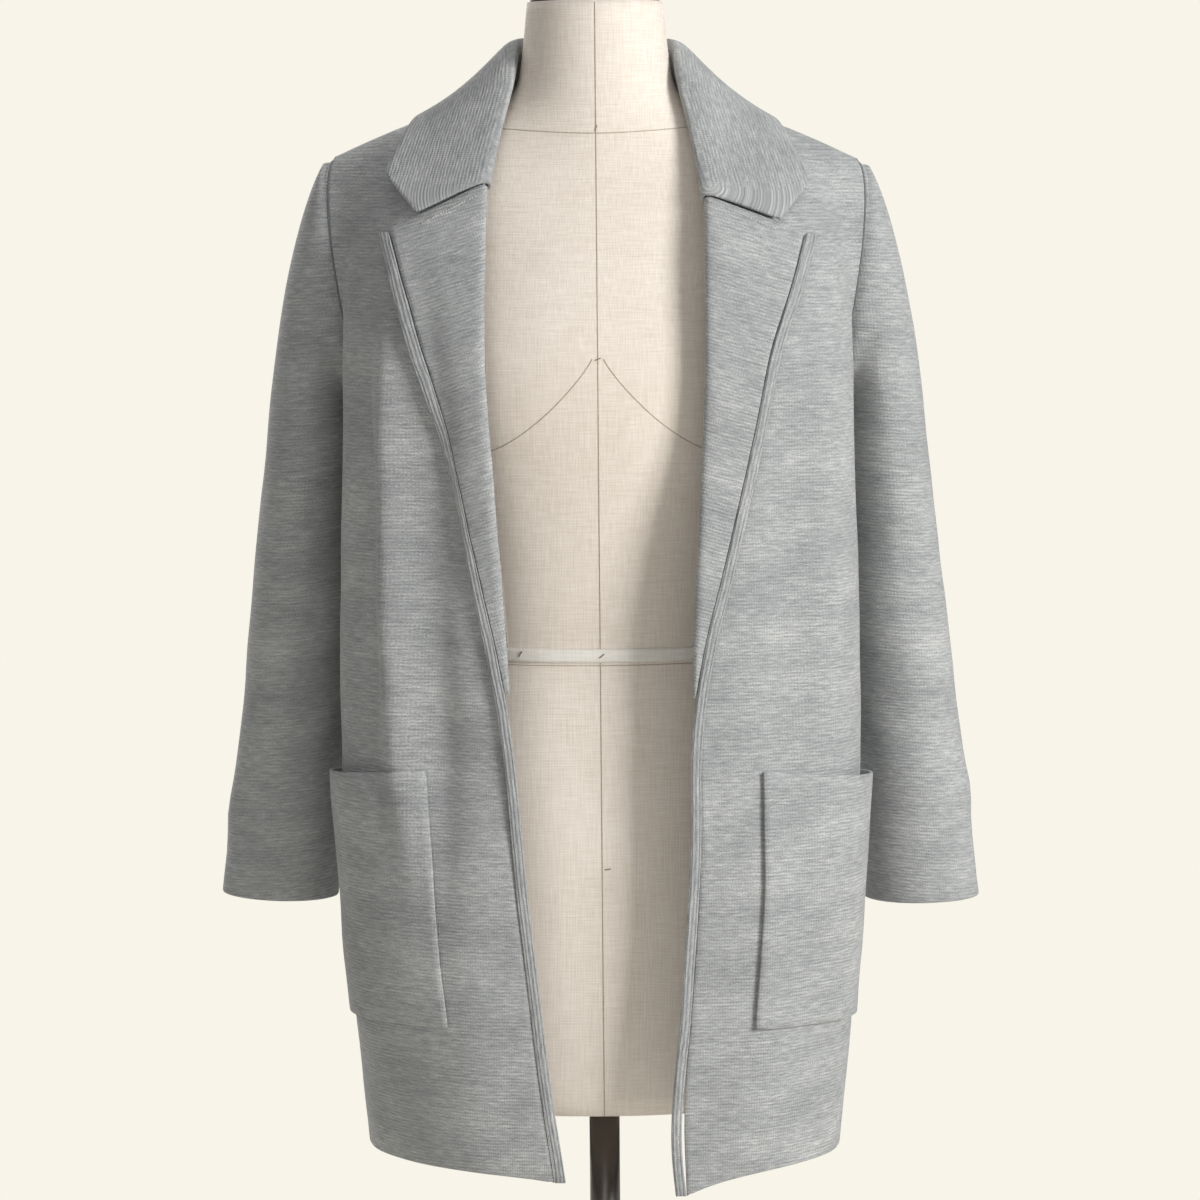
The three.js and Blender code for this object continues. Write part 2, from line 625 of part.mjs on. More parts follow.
// The seam under the stand, the fold line and the leaf's outer edge, at from 0 to 1.
function collarSeam(side, at) {
  const shape = (a, b) => frontShape(side, a, b);
  if (at >= NECK_TURN) {
    const gorge = foldEdge(side, side.gorgeZ).v;
    const v = mix(0.995, gorge, (at - NECK_TURN) / (1 - NECK_TURN));
    const edge = shape(1, v);
    const out = facing(shape, 1, v);
    const ahead = unit(minus(edge, shape(0.98, v)));
    return add(add(edge, ahead, mix(3.4, 0.8, ease(0.85, 1, at))), out, mix(0.6, -CLOTH, ease(0.7, 1, at)));
  }
  const u = mix(1, BACK_NECK_U, at / NECK_TURN);
  const out = facing(backShape, u, 1).map((value) => -value);
  return add(add(backShape(u, 1), out, 0.8), [0, 0, 1.2]);
}

function collarRoll(side, at) {
  const end = foldPoint(side, 1, Math.PI / 2).point;
  const before = COLLAR_ROLL[COLLAR_ROLL.length - 1];
  const near = mix3([before.x, before.y, before.z], end, 0.52);
  const rows = [...COLLAR_ROLL, { at: 0.9, x: near[0] + 1.5, y: near[1], z: near[2] },
    { at: 1, x: end[0], y: end[1], z: end[2] }];
  return ['x', 'y', 'z'].map((column) => track(rows, 'at', column, at));
}

function collarEdge(side, at) {
  const shoulder = 0.6;
  if (at >= shoulder) {
    const corner = findOnFront(side, side.corner.reach, side.corner.z, [0.4, 0.8]);
    const t = (at - shoulder) / (1 - shoulder);
    const u = mix(0.545, corner[0], t);
    const v = mix(0.985, corner[1], t);
    return onFront(side, u, v, mix(4, 7, t));
  }
  const t = at / shoulder;
  const u = mix(1, 0.545 * BACK_NECK_U, t);
  const v = mix(0.865, 0.985, t * t);
  const out = facing(backShape, u, v).map((value) => -value);
  return add(backShape(u, v), out, mix(6, 4, t));
}

// One cross-section of the collar: up the stand, over the fold, down the leaf.
function collarSection(side, at) {
  const seam = collarSeam(side, at);
  const roll = collarRoll(side, at);
  const edge = collarEdge(side, at);
  const inside = unit(minus(mix3(seam, edge, 0.5), roll));
  const chord = unit(minus(edge, seam));
  const over = unit(minus(chord, inside.map((value) => value * (chord[0] * inside[0] + chord[1] * inside[1]
    + chord[2] * inside[2]))));
  const stand = length(minus(roll, seam));
  const leaf = length(minus(edge, roll));
  const front = ease(0.8, 1, at);
  const points = steps(STAND_STEPS).slice(0, -1)
    .map((t) => bezier(seam, mix3(seam, roll, 0.4), add(roll, over, -0.35 * stand), roll, t));
  steps(LEAF_STEPS).forEach((t) => {
    points.push(bezier(roll, add(roll, over, 0.14 * leaf), mix3(roll, edge, 0.62), edge, t));
  });
  return points.map((p, k) => mix3(p, gorgeEnd(side)[k], front));
}

// The collar's front end: along the gorge to the notch, then out to the leaf's corner.
const gorgeEnds = new Map();
function gorgeEnd(side) {
  if (!gorgeEnds.has(side)) {
    const points = steps(STAND_STEPS).slice(0, -1).map((t) => foldPoint(side, 1, t * Math.PI / 2).point);
    points.push(foldPoint(side, 1, Math.PI / 2).point);
    points.push(foldPoint(side, 1, Math.PI * 0.85).point);
    const reach = side.notch;
    for (const s of [0.36, 0.7, 1]) points.push(lapelPoint(side, 1, s * reach).point);
    const corner = collarEdge(side, 1);
    points.push(mix3(points[points.length - 1], corner, 0.5), corner);
    gorgeEnds.set(side, points.map((p) => add(p, [0, 0, 1.1])));
  }
  return gorgeEnds.get(side);
}

function collar() {
  const sections = [];
  const levels = [];
  for (let k = -COLLAR_STEPS; k <= COLLAR_STEPS; k += 1) levels.push(k / COLLAR_STEPS);
  for (const level of levels) {
    const side = level < 0 ? RIGHT : LEFT;
    sections.push(collarSection(side, Math.abs(level)).map((p) => [p[0] * side.sign, p[1], p[2]]));
  }
  const directions = sections.map((row, i) => row.map((_, j) => {
    const ahead = sections[Math.min(i + 1, sections.length - 1)][j];
    const behind = sections[Math.max(i - 1, 0)][j];
    const after = row[Math.min(j + 1, row.length - 1)];
    const before = row[Math.max(j - 1, 0)];
    return unit(cross(minus(after, before), minus(ahead, behind)));
  }));
  return sheet(sections, directions, 1);
}

// ---- the dress form and its stand ------------------------------------------------------------
function formPoint(turn, row, grow = 0) {
  const depth = Math.sin(turn) < 0 ? row.front : row.back;
  const radius = ((Math.abs(Math.cos(turn)) / row.half) ** row.power
    + (Math.abs(Math.sin(turn)) / depth) ** row.power) ** (-1 / row.power) + grow;
  return [radius * Math.cos(turn), radius * Math.sin(turn), row.z];
}

const turnsOfForm = Array.from({ length: FORM_SIDES }, (_, k) => (k / FORM_SIDES) * 2 * Math.PI);

function formTorso() {
  const rings = FORM.map((row) => turnsOfForm.map((turn) => formPoint(turn, row)));
  const positions = rings.flat(2);
  const bottom = positions.length / 3;
  positions.push(0, 0, FORM[0].z);
  positions.push(0, 0, FORM[FORM.length - 1].z);
  const faces = [];
  const at = (i, j) => i * FORM_SIDES + (j % FORM_SIDES);
  for (let i = 0; i < rings.length - 1; i += 1) {
    for (let j = 0; j < FORM_SIDES; j += 1) {
      faces.push(at(i, j), at(i, j + 1), at(i + 1, j + 1), at(i, j), at(i + 1, j + 1), at(i + 1, j));
    }
  }
  for (let j = 0; j < FORM_SIDES; j += 1) {
    faces.push(bottom, at(0, j + 1), at(0, j));
    faces.push(bottom + 1, at(rings.length - 1, j), at(rings.length - 1, j + 1));
  }
  return solid(positions, faces);
}

function waistTape() {
  const rows = [FORM.find((row) => row.z === TAPE_Z - 6), FORM.find((row) => row.z === TAPE_Z + 6)];
  const level = (z) => {
    const t = (z - rows[0].z) / (rows[1].z - rows[0].z);
    const columns = Object.keys(rows[0]);
    return Object.fromEntries(columns.map((column) => [column, mix(rows[0][column], rows[1][column], t)]));
  };
  const heights = [TAPE_Z - TAPE_WIDTH / 2, TAPE_Z + TAPE_WIDTH / 2];
  const outer = heights.map((z) => turnsOfForm.map((turn) => formPoint(turn, level(z), 1.1)));
  const inner = heights.map((z) => turnsOfForm.map((turn) => formPoint(turn, level(z), 0.3)));
  return wall(outer, inner, { ring: true });
}

// A turned piece about the pole's axis, from (radius, height) pairs.
function turned(profile, sides) {
  const geometry = new THREE.LatheGeometry(profile.map(([radius, z]) => new THREE.Vector2(radius, z)), sides);
  return geometry.rotateX(Math.PI / 2);
}

function neckCap() {
  const base = FORM[FORM.length - 1].z + GAP;
  return turned([[0, base], [47.5, base], [48.5, base + 2], [48.5, base + 7], [44, base + 11],
    [30, base + 14.5], [12, base + 16.5], [0, base + 17]], 32);
}

const BASE_TOP = 40;
function pole() {
  return turned([[0, BASE_TOP + GAP], [POLE_RADIUS, BASE_TOP + GAP], [POLE_RADIUS, FORM[0].z - GAP],
    [0, FORM[0].z - GAP]], 24);
}

function base() {
  return turned([[0, 0], [BASE_RADIUS - 2, 0], [BASE_RADIUS, 2], [BASE_RADIUS, 8], [BASE_RADIUS - 4, 11],
    [90, 15], [34, 19], [22, 25], [19, BASE_TOP - 2], [17, BASE_TOP], [0, BASE_TOP]], 40);
}

// ---- finishes and assembly -------------------------------------------------------------------
const knit = () => new THREE.MeshStandardMaterial({ color: 0x9c9e9d, roughness: 0.95, metalness: 0 });
const linen = () => new THREE.MeshStandardMaterial({ color: 0xd8ccba, roughness: 0.9, metalness: 0 });
const cotton = () => new THREE.MeshStandardMaterial({ color: 0xe9e2d6, roughness: 0.9, metalness: 0 });
const steel = () => new THREE.MeshStandardMaterial({ color: 0x4a4644, roughness: 0.35, metalness: 1 });

const group = new THREE.Group();

function put(name, geometry, material) {
  const mesh = new THREE.Mesh(geometry, material);
  mesh.name = name;
  group.add(mesh);
}

put('back', backPanel(), knit());
put('collar', collar(), knit());
for (const side of SIDES) {
  put(`front_${side.name}`, frontPanel(side), knit());
  put(`sleeve_${side.name}`, sleeve(side), knit());
  put(`lapel_${side.name}`, lapel(side), knit());
  put(`edge_band_${side.name}`, edgeBand(side), knit());
  put(`pocket_${side.name}`, pocket(side), knit());
}
put('form_torso', formTorso(), linen());
put('form_waist_tape', waistTape(), cotton());
put('form_neck_cap', neckCap(), steel());
put('stand_pole', pole(), steel());
put('stand_base', base(), steel());

export default group;
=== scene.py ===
"""An open knit blazer on a dress form with a pole stand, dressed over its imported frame.

Metres, +Z up, the front faces -Y and the wearer's left is +X. Each cloth piece starts from the
frame's own solid, is made smooth and fine, hangs in soft folds and gets its seams and its knit.
"""

from __future__ import annotations

import json
import logging
import math
from dataclasses import dataclass, field
from enum import Enum

import bmesh
import bpy
import numpy as np
from mathutils import Matrix, Vector
from mathutils.bvhtree import BVHTree

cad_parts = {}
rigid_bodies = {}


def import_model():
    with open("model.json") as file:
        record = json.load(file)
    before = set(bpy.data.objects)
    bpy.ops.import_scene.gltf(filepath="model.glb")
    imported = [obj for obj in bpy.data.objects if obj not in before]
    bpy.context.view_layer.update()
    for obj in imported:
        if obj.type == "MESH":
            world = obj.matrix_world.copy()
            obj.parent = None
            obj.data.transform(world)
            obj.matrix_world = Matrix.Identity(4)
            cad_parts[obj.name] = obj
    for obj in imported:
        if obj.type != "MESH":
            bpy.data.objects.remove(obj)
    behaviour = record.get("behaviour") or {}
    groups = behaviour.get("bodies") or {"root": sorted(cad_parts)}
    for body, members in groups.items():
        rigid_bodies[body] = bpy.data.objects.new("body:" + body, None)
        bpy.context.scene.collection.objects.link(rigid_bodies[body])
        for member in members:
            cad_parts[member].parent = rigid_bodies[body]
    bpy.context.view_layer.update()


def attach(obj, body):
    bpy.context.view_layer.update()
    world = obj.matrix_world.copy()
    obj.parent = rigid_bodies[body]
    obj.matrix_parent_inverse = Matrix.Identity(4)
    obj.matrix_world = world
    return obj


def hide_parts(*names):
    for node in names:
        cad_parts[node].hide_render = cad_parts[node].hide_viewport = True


LOG = logging.getLogger("knit_blazer")

RIM_BEND = math.radians(62)  # a cloth's two faces meet its rim at more than this
RIM_CREASE = 0.72  # rims stay this sharp, so that they look thick and soft
HANG_TILT = 0.012  # the garment hangs lower by this much per metre towards +X


# ---- small helpers ---------------------------------------------------------------------------


def ease(low: float, high: float, value: np.ndarray | float) -> np.ndarray | float:
    """Returns a smooth step from 0 at low to 1 at high."""
    t = np.clip((np.asarray(value, float) - low) / (high - low), 0.0, 1.0)
    return t * t * (3.0 - 2.0 * t)


def points_of(mesh: bpy.types.Mesh) -> np.ndarray:
    """Returns a mesh's points as an array of rows."""
    flat = np.empty(len(mesh.vertices) * 3)
    mesh.vertices.foreach_get("co", flat)
    return flat.reshape(-1, 3)


def set_points(mesh: bpy.types.Mesh, points: np.ndarray) -> None:
    """Writes an array of rows back as a mesh's points."""
    mesh.vertices.foreach_set("co", points.ravel())
    mesh.update()


def plain_mesh(obj: bpy.types.Object) -> bpy.types.Object:
    """Applies an object's modifiers.

    Args:
        obj: a mesh object with live modifiers.

    Returns:
        The same object, with its result as a plain mesh and no modifiers.
    """
    graph = bpy.context.evaluated_depsgraph_get()
    mesh = bpy.data.meshes.new_from_object(obj.evaluated_get(graph))
    obj.modifiers.clear()
    old = obj.data
    obj.data = mesh
    mesh.name = obj.name
    bpy.data.meshes.remove(old)
    return obj


def add_object(name: str, mesh: bpy.types.Mesh) -> bpy.types.Object:
    """Links a new object for a mesh, at the origin."""
    obj = bpy.data.objects.new(name, mesh)
    bpy.context.scene.collection.objects.link(obj)
    return obj


def refined(
    node: str, name: str, levels: int = 2, crease_angle: float = RIM_BEND, crease: float = 1.0
) -> bpy.types.Object:
    """Makes a smooth, fine copy of a frame node.

    Args:
        node: the frame node to start from.
        name: the new piece's name.
        levels: how many times its faces are divided.
        crease_angle: edges that bend more than this many radians stay sharp.
        crease: how sharp they stay, from 0 to 1; where three of them meet, the corner is kept.

    Returns:
        The new object, in place, with no modifiers.
    """
    bm = bmesh.new()
    bm.from_mesh(bpy.data.objects[node].data)
    bmesh.ops.remove_doubles(bm, verts=bm.verts, dist=2e-6)
    bmesh.ops.join_triangles(
        bm, faces=bm.faces, angle_face_threshold=math.radians(40), angle_shape_threshold=math.radians(75)
    )
    layer = bm.edges.layers.float.new("crease_edge")
    corner = bm.verts.layers.float.new("crease_vert")
    for edge in bm.edges:
        if edge.calc_face_angle(0.0) > crease_angle:
            edge[layer] = crease
    for vert in bm.verts:
        if sum(edge[layer] > 0.0 for edge in vert.link_edges) > 2:
            vert[corner] = 1.0
    mesh = bpy.data.meshes.new(name)
    bm.to_mesh(mesh)
    bm.free()
    obj = add_object(name, mesh)
    smooth = obj.modifiers.new("smooth", "SUBSURF")
    smooth.levels = levels
    smooth.render_levels = levels
    plain_mesh(obj)
    obj.data.materials.clear()
    obj.data.polygons.foreach_set("use_smooth", [True] * len(obj.data.polygons))
    return obj


# ---- finishes --------------------------------------------------------------------------------


@dataclass
class Nodes:
    """A short way to write a material's node tree."""

    material: bpy.types.Material

    @classmethod
    def start(cls, name: str) -> "Nodes":
        """Returns a helper for a new, empty material."""
        material = bpy.data.materials.new(name)
        material.use_nodes = True
        material.node_tree.nodes.clear()
        return cls(material)

    def add(self, kind: str, **values: object) -> bpy.types.Node:
        """Adds a node.

        Args:
            kind: the node's type name.
            **values: properties of the node; one that starts with in_ sets an input, by name or index.

        Returns:
            The new node.
        """
        node = self.material.node_tree.nodes.new(kind)
        for key, value in values.items():
            if key.startswith("in_"):
                where = key[3:]
                node.inputs[int(where) if where.isdigit() else where.replace("_", " ")].default_value = value
            else:
                setattr(node, key, value)
        return node

    def join(self, source: bpy.types.NodeSocket, target: bpy.types.NodeSocket) -> None:
        """Links one socket to another."""
        self.material.node_tree.links.new(source, target)

    def math(
        self, operation: str, first: object, second: object = 0.0, clamp: bool = False
    ) -> bpy.types.NodeSocket:
        """Adds a Math node on sockets or numbers and returns its output."""
        node = self.add("ShaderNodeMath", operation=operation, use_clamp=clamp)
        for slot, value in enumerate((first, second)):
            if isinstance(value, bpy.types.NodeSocket):
                self.join(value, node.inputs[slot])
            else:
                node.inputs[slot].default_value = value
        return node.outputs[0]

    def noise(
        self, vector: bpy.types.NodeSocket, scale: tuple[float, float, float], detail: float
    ) -> bpy.types.NodeSocket:
        """Adds a noise stretched by scale and returns its value."""
        mapping = self.add("ShaderNodeMapping")
        mapping.inputs["Scale"].default_value = scale
        self.join(vector, mapping.inputs["Vector"])
        noise = self.add("ShaderNodeTexNoise", in_Scale=1.0, in_Detail=detail)
        self.join(mapping.outputs[0], noise.inputs["Vector"])
        return noise.outputs[0]

    def wave(self, along: bpy.types.NodeSocket, period: float) -> bpy.types.NodeSocket:
        """Returns a sine of a length, once per period, from 0 to 1."""
        turned = self.math("SINE", self.math("MULTIPLY", along, 2.0 * math.pi / period))
        return self.math("ADD", self.math("MULTIPLY", turned, 0.5), 0.5)

    def ramp(
        self, value: bpy.types.NodeSocket, stops: list[tuple[float, tuple[float, float, float]]]
    ) -> bpy.types.NodeSocket:
        """Colours a value by a row of stops and returns the colour."""
        node = self.add("ShaderNodeValToRGB")
        elements = node.color_ramp.elements
        while len(elements) < len(stops):
            elements.new(0.5)
        for element, (position, colour) in zip(elements, stops):
            element.position = position
            element.color = (*colour, 1.0)
        self.join(value, node.inputs[0])
        return node.outputs[0]

    def finish(self, shader: bpy.types.Node) -> bpy.types.Material:
        """Joins a shader to the output and returns the material."""
        output = self.add("ShaderNodeOutputMaterial")
        self.join(shader.outputs[0], output.inputs["Surface"])
        return self.material


@dataclass(frozen=True)
class KnitFinish:
    """A heather double knit, laid by the piece's own grain in metres."""

    name: str = "heather_knit"
    dark: tuple[float, float, float] = (0.19, 0.198, 0.202)
    middle: tuple[float, float, float] = (0.34, 0.350, 0.352)
    light: tuple[float, float, float] = (0.60, 0.600, 0.58)
    course: float = 0.0024
    wale: float = 0.0019
    rib: float = 0.0

    def build(self) -> bpy.types.Material:
        """Returns the material."""
        n = Nodes.start(self.name)
        grain = n.add("ShaderNodeUVMap", uv_map="grain").outputs[0]
        split = n.add("ShaderNodeSeparateXYZ")
        n.join(grain, split.inputs[0])
        along, across = split.outputs[0], split.outputs[1]
        drift = n.noise(grain, (55.0, 90.0, 1.0), 2.0)
        across = n.math("ADD", across, n.math("MULTIPLY", drift, 0.0016))
        courses = n.wave(across, self.course)
        stitches = n.wave(n.math("ADD", along, n.math("MULTIPLY", drift, 0.0012)), self.wale)
        slubs = n.noise(grain, (130.0, 620.0, 1.0), 2.0)
        streaks = n.noise(grain, (50.0, 260.0, 1.0), 2.0)
        specks = n.noise(grain, (1000.0, 1100.0, 1.0), 1.0)
        cloud = n.noise(grain, (16.0, 30.0, 1.0), 3.0)
        tone = n.math("ADD", n.math("MULTIPLY", slubs, 0.46), n.math("MULTIPLY", streaks, 0.24))
        tone = n.math("ADD", tone, n.math("MULTIPLY", specks, 0.52))
        tone = n.math("ADD", tone, n.math("MULTIPLY", courses, 0.07))
        tone = n.math("ADD", tone, n.math("MULTIPLY", n.math("SUBTRACT", cloud, 0.5), 0.34))
        colour = n.ramp(tone, [(0.40, self.dark), (0.66, self.middle), (0.93, self.light)])
        height = n.math("ADD", n.math("MULTIPLY", courses, 0.55), n.math("MULTIPLY", stitches, 0.22))
        height = n.math("ADD", height, n.math("MULTIPLY", slubs, 0.5))
        height = n.math("ADD", height, n.math("MULTIPLY", specks, 0.35))
        if self.rib:
            height = n.math("ADD", height, n.math("MULTIPLY", n.wave(split.outputs[1], self.rib), 1.5))
        bump = n.add("ShaderNodeBump", in_Strength=0.55, in_Distance=0.0007)
        n.join(height, bump.inputs["Height"])
        shader = n.add(
            "ShaderNodeBsdfPrincipled", in_Roughness=0.95, in_Sheen_Weight=0.18, in_Sheen_Roughness=0.5
        )
        shader.inputs["Specular IOR Level"].default_value = 0.2
        n.join(colour, shader.inputs["Base Color"])
        n.join(bump.outputs[0], shader.inputs["Normal"])
        return n.finish(shader)


@dataclass(frozen=True)
class WovenFinish:
    """A plain weave on Object coordinates, for the form's linen and its cotton tape."""

    name: str
    shade: tuple[float, float, float]
    light: tuple[float, float, float]
    thread: float
    bump: float

    def build(self) -> bpy.types.Material:
        """Returns the material."""
        n = Nodes.start(self.name)
        place = n.add("ShaderNodeTexCoord").outputs["Object"]
        split = n.add("ShaderNodeSeparateXYZ")
        n.join(place, split.inputs[0])
        warp = n.wave(split.outputs[0], self.thread)
        weft = n.wave(split.outputs[2], self.thread)
        rows = n.noise(place, (60.0, 60.0, 1500.0), 2.0)
        columns = n.noise(place, (1500.0, 300.0, 50.0), 2.0)
        cloud = n.noise(place, (7.0, 7.0, 7.0), 3.0)
        tone = n.math("ADD", n.math("MULTIPLY", rows, 0.5), n.math("MULTIPLY", columns, 0.5))
        tone = n.math("ADD", tone, n.math("MULTIPLY", n.math("SUBTRACT", cloud, 0.5), 0.45))
        colour = n.ramp(tone, [(0.3, self.shade), (0.68, self.light)])
        height = n.math("ADD", n.math("MULTIPLY", n.math("MULTIPLY", warp, weft), 0.7), tone)
        bump = n.add("ShaderNodeBump", in_Strength=self.bump, in_Distance=0.0003)
        n.join(height, bump.inputs["Height"])
        shader = n.add("ShaderNodeBsdfPrincipled", in_Roughness=0.9, in_Sheen_Weight=0.08)
        shader.inputs["Specular IOR Level"].default_value = 0.25
        n.join(colour, shader.inputs["Base Color"])
        n.join(bump.outputs[0], shader.inputs["Normal"])
        return n.finish(shader)


@dataclass(frozen=True)
class MetalFinish:
    """Dark semi-gloss metal with a fine brushed grain."""

    name: str
    colour: tuple[float, float, float]
    roughness: float

    def build(self) -> bpy.types.Material:
        """Returns the material."""
        n = Nodes.start(self.name)
        place = n.add("ShaderNodeTexCoord").outputs["Object"]
        grain = n.noise(place, (900.0, 900.0, 12.0), 3.0)
        worn = n.noise(place, (30.0, 30.0, 30.0), 4.0)
        rough = n.math("ADD", n.math("MULTIPLY", grain, 0.14), n.math("MULTIPLY", worn, 0.12))
        rough = n.math("ADD", rough, self.roughness - 0.13)
        colour = n.ramp(worn, [(0.3, tuple(0.8 * c for c in self.colour)), (0.7, self.colour)])
        bump = n.add("ShaderNodeBump", in_Strength=0.12, in_Distance=0.0002)
        n.join(grain, bump.inputs["Height"])
        shader = n.add("ShaderNodeBsdfPrincipled", in_Metallic=1.0)
        n.join(rough, shader.inputs["Roughness"])
        n.join(colour, shader.inputs["Base Color"])
        n.join(bump.outputs[0], shader.inputs["Normal"])
        return n.finish(shader)


@dataclass(frozen=True)
class ThreadFinish:
    """Sewing thread, matt with a little variation along it."""

    name: str
    colour: tuple[float, float, float]

    def build(self) -> bpy.types.Material:
        """Returns the material."""
        n = Nodes.start(self.name)
        place = n.add("ShaderNodeTexCoord").outputs["Object"]
        tone = n.noise(place, (500.0, 500.0, 500.0), 2.0)
        colour = n.ramp(tone, [(0.3, tuple(0.72 * c for c in self.colour)), (0.7, self.colour)])
        shader = n.add("ShaderNodeBsdfPrincipled", in_Roughness=0.8)
        n.join(colour, shader.inputs["Base Color"])
        return n.finish(shader)


# ---- how the cloth hangs ---------------------------------------------------------------------


class Face(Enum):
    """The side of the body that a fold lies on."""

    FRONT = -1
    BACK = 1


@dataclass(frozen=True)
class Fold:
    """One soft ridge (rise above 0) or trough of the hung cloth, seen from its face as x and z."""

    start: tuple[float, float]
    end: tuple[float, float]
    width: float
    rise: float
    face: Face = Face.FRONT
    bow: float = 0.0

    def height(self, x: np.ndarray, z: np.ndarray) -> np.ndarray:
        """Returns the fold's height at each x and z, before its face is taken into account."""
        a = np.array(self.start)
        d = np.array(self.end) - a
        span = float(np.hypot(*d))
        t = ((x - a[0]) * d[0] + (z - a[1]) * d[1]) / span**2
        off = ((x - a[0]) * d[1] - (z - a[1]) * d[0]) / span - self.bow * np.sin(np.pi * np.clip(t, 0, 1))
        ends = ease(-0.15, 0.3, t) * (1.0 - ease(0.7, 1.15, t))
        return self.rise * np.exp(-((off / self.width) ** 2)) * ends


BODY_FOLDS = (
    Fold((-0.150, 1.290), (-0.141, 0.900), 0.0095, 0.0085, bow=0.004),
    Fold((-0.121, 1.230), (-0.112, 0.880), 0.016, -0.0068, bow=0.004),
    Fold((-0.170, 1.290), (-0.166, 0.950), 0.010, -0.0056),
    Fold((-0.128, 1.330), (-0.100, 1.080), 0.012, -0.0030),
    Fold((-0.100, 0.930), (-0.085, 0.670), 0.024, 0.0035),
    Fold((-0.155, 0.800), (-0.150, 0.660), 0.022, -0.0030),
    Fold((0.166, 1.310), (0.158, 0.960), 0.012, 0.0036, bow=-0.004),
    Fold((0.140, 1.240), (0.135, 0.900), 0.018, -0.0034),
    Fold((0.120, 0.960), (0.105, 0.660), 0.026, 0.0036),
    Fold((0.160, 0.860), (0.150, 0.660), 0.020, -0.0030),
    Fold((0.150, 1.370), (0.178, 1.290), 0.010, 0.0022),
    Fold((-0.168, 1.372), (-0.158, 1.270), 0.010, -0.0036),
    Fold((-0.180, 1.375), (-0.176, 1.290), 0.006, 0.0020),
    Fold((-0.120, 1.260), (-0.110, 0.640), 0.030, 0.0070, Face.BACK, 0.008),
    Fold((-0.060, 1.180), (-0.062, 0.640), 0.026, -0.0060, Face.BACK),
    Fold((-0.010, 1.150), (0.000, 0.640), 0.030, 0.0055, Face.BACK, -0.006),
    Fold((0.056, 1.200), (0.050, 0.640), 0.024, -0.0065, Face.BACK),
    Fold((0.106, 1.270), (0.098, 0.640), 0.027, 0.0068, Face.BACK, 0.006),
    Fold((0.150, 1.120), (0.146, 0.660), 0.018, -0.0040, Face.BACK),
    Fold((-0.158, 1.200), (-0.152, 0.700), 0.016, -0.0042, Face.BACK),
    Fold((-0.070, 1.330), (-0.140, 1.250), 0.014, -0.0026, Face.BACK),
    Fold((0.075, 1.335), (0.142, 1.255), 0.013, -0.0024, Face.BACK),
)


@dataclass(frozen=True)
class Crease:
    """One soft crease across a sleeve: round from turn_start to turn_end, between two heights."""

    turn_start: float
    turn_end: float
    z_start: float
    z_end: float
    width: float
    rise: float


SLEEVE_CREASES = (
    Crease(-2.6, -0.6, 1.215, 1.275, 0.013, -0.0034),
    Crease(-2.7, -0.9, 1.170, 1.225, 0.012, 0.0026),
    Crease(-2.8, -1.0, 1.115, 1.090, 0.014, -0.0030),
    Crease(-2.6, -0.7, 1.050, 1.085, 0.013, 0.0026),
    Crease(0.8, 2.6, 1.120, 1.075, 0.014, -0.0032),
    Crease(0.7, 2.7, 1.050, 1.030, 0.012, 0.0022),
    Crease(-2.2, -0.4, 0.985, 0.960, 0.016, -0.0020),
    Crease(-0.9, 0.7, 0.930, 0.900, 0.018, 0.0018),
    Crease(1.2, 2.7, 0.960, 0.930, 0.014, 0.0018),
)

SLEEVE_AXIS = (
    (0.845, 0.2437, 0.026),
    (0.957, 0.232, 0.031),
    (1.056, 0.222, 0.034),
    (1.18, 0.209, 0.031),
    (1.40, 0.192, 0.012),
)


def ripple(points: np.ndarray, size: float, seed: float) -> np.ndarray:
    """Returns a slow, uneven swell of a cloth, about -1 to 1.

    Args:
        points: rows of x, y, z.
        size: length of the swells.
        seed: shifts the pattern.
    """
    x, y, z = points.T / size
    return (
        np.sin(1.9 * x + 1.3 * z + seed) * np.sin(1.1 * z - 1.7 * y + 2.1 * seed)
        + 0.5 * np.sin(3.7 * x - 2.9 * z + 0.7 * seed) * np.sin(3.1 * y + 1.9 * z + seed)
    ) / 1.5


def hang_body(points: np.ndarray) -> np.ndarray:
    """Moves points of the body, its lapels, pockets, bands and collar into the hung folds."""
    x, y, z = points.T
    away = np.stack([x, y + 0.03, np.zeros_like(x)], axis=1)
    away /= np.maximum(np.linalg.norm(away, axis=1, keepdims=True), 1e-6)
    ahead = 1.0 - ease(-0.02, 0.05, y)
    height = np.zeros_like(x)
    for fold in BODY_FOLDS:
        weight = ahead if fold.face is Face.FRONT else 1.0 - ahead
        height += weight * fold.height(x, z)
    height += 0.0008 * ripple(points, 0.045, 1.3) + 0.0012 * ripple(points, 0.11, 4.2)
    calm = 1.0 - 0.85 * ease(1.30, 1.38, z)
    near_sleeve = 1.0 - 0.8 * ease(0.168, 0.186, np.abs(x)) * ease(1.10, 1.18, z)
    return points + away * (height * calm * near_sleeve)[:, None]


def sleeve_turn(points: np.ndarray, sign: int) -> tuple[np.ndarray, np.ndarray]:
    """Returns each point's turn round its sleeve, 0 outwards, and the direction out of it."""
    rows = np.array(SLEEVE_AXIS)
    cx = np.interp(points[:, 2], rows[:, 0], rows[:, 1]) * sign
    cy = np.interp(points[:, 2], rows[:, 0], rows[:, 2])
    dx = (points[:, 0] - cx) * sign
    dy = points[:, 1] - cy
    turn = np.arctan2(dy, dx)
    size = np.maximum(np.hypot(dx, dy), 1e-6)
    return turn, np.stack([dx * sign / size, dy / size, np.zeros_like(dx)], axis=1)


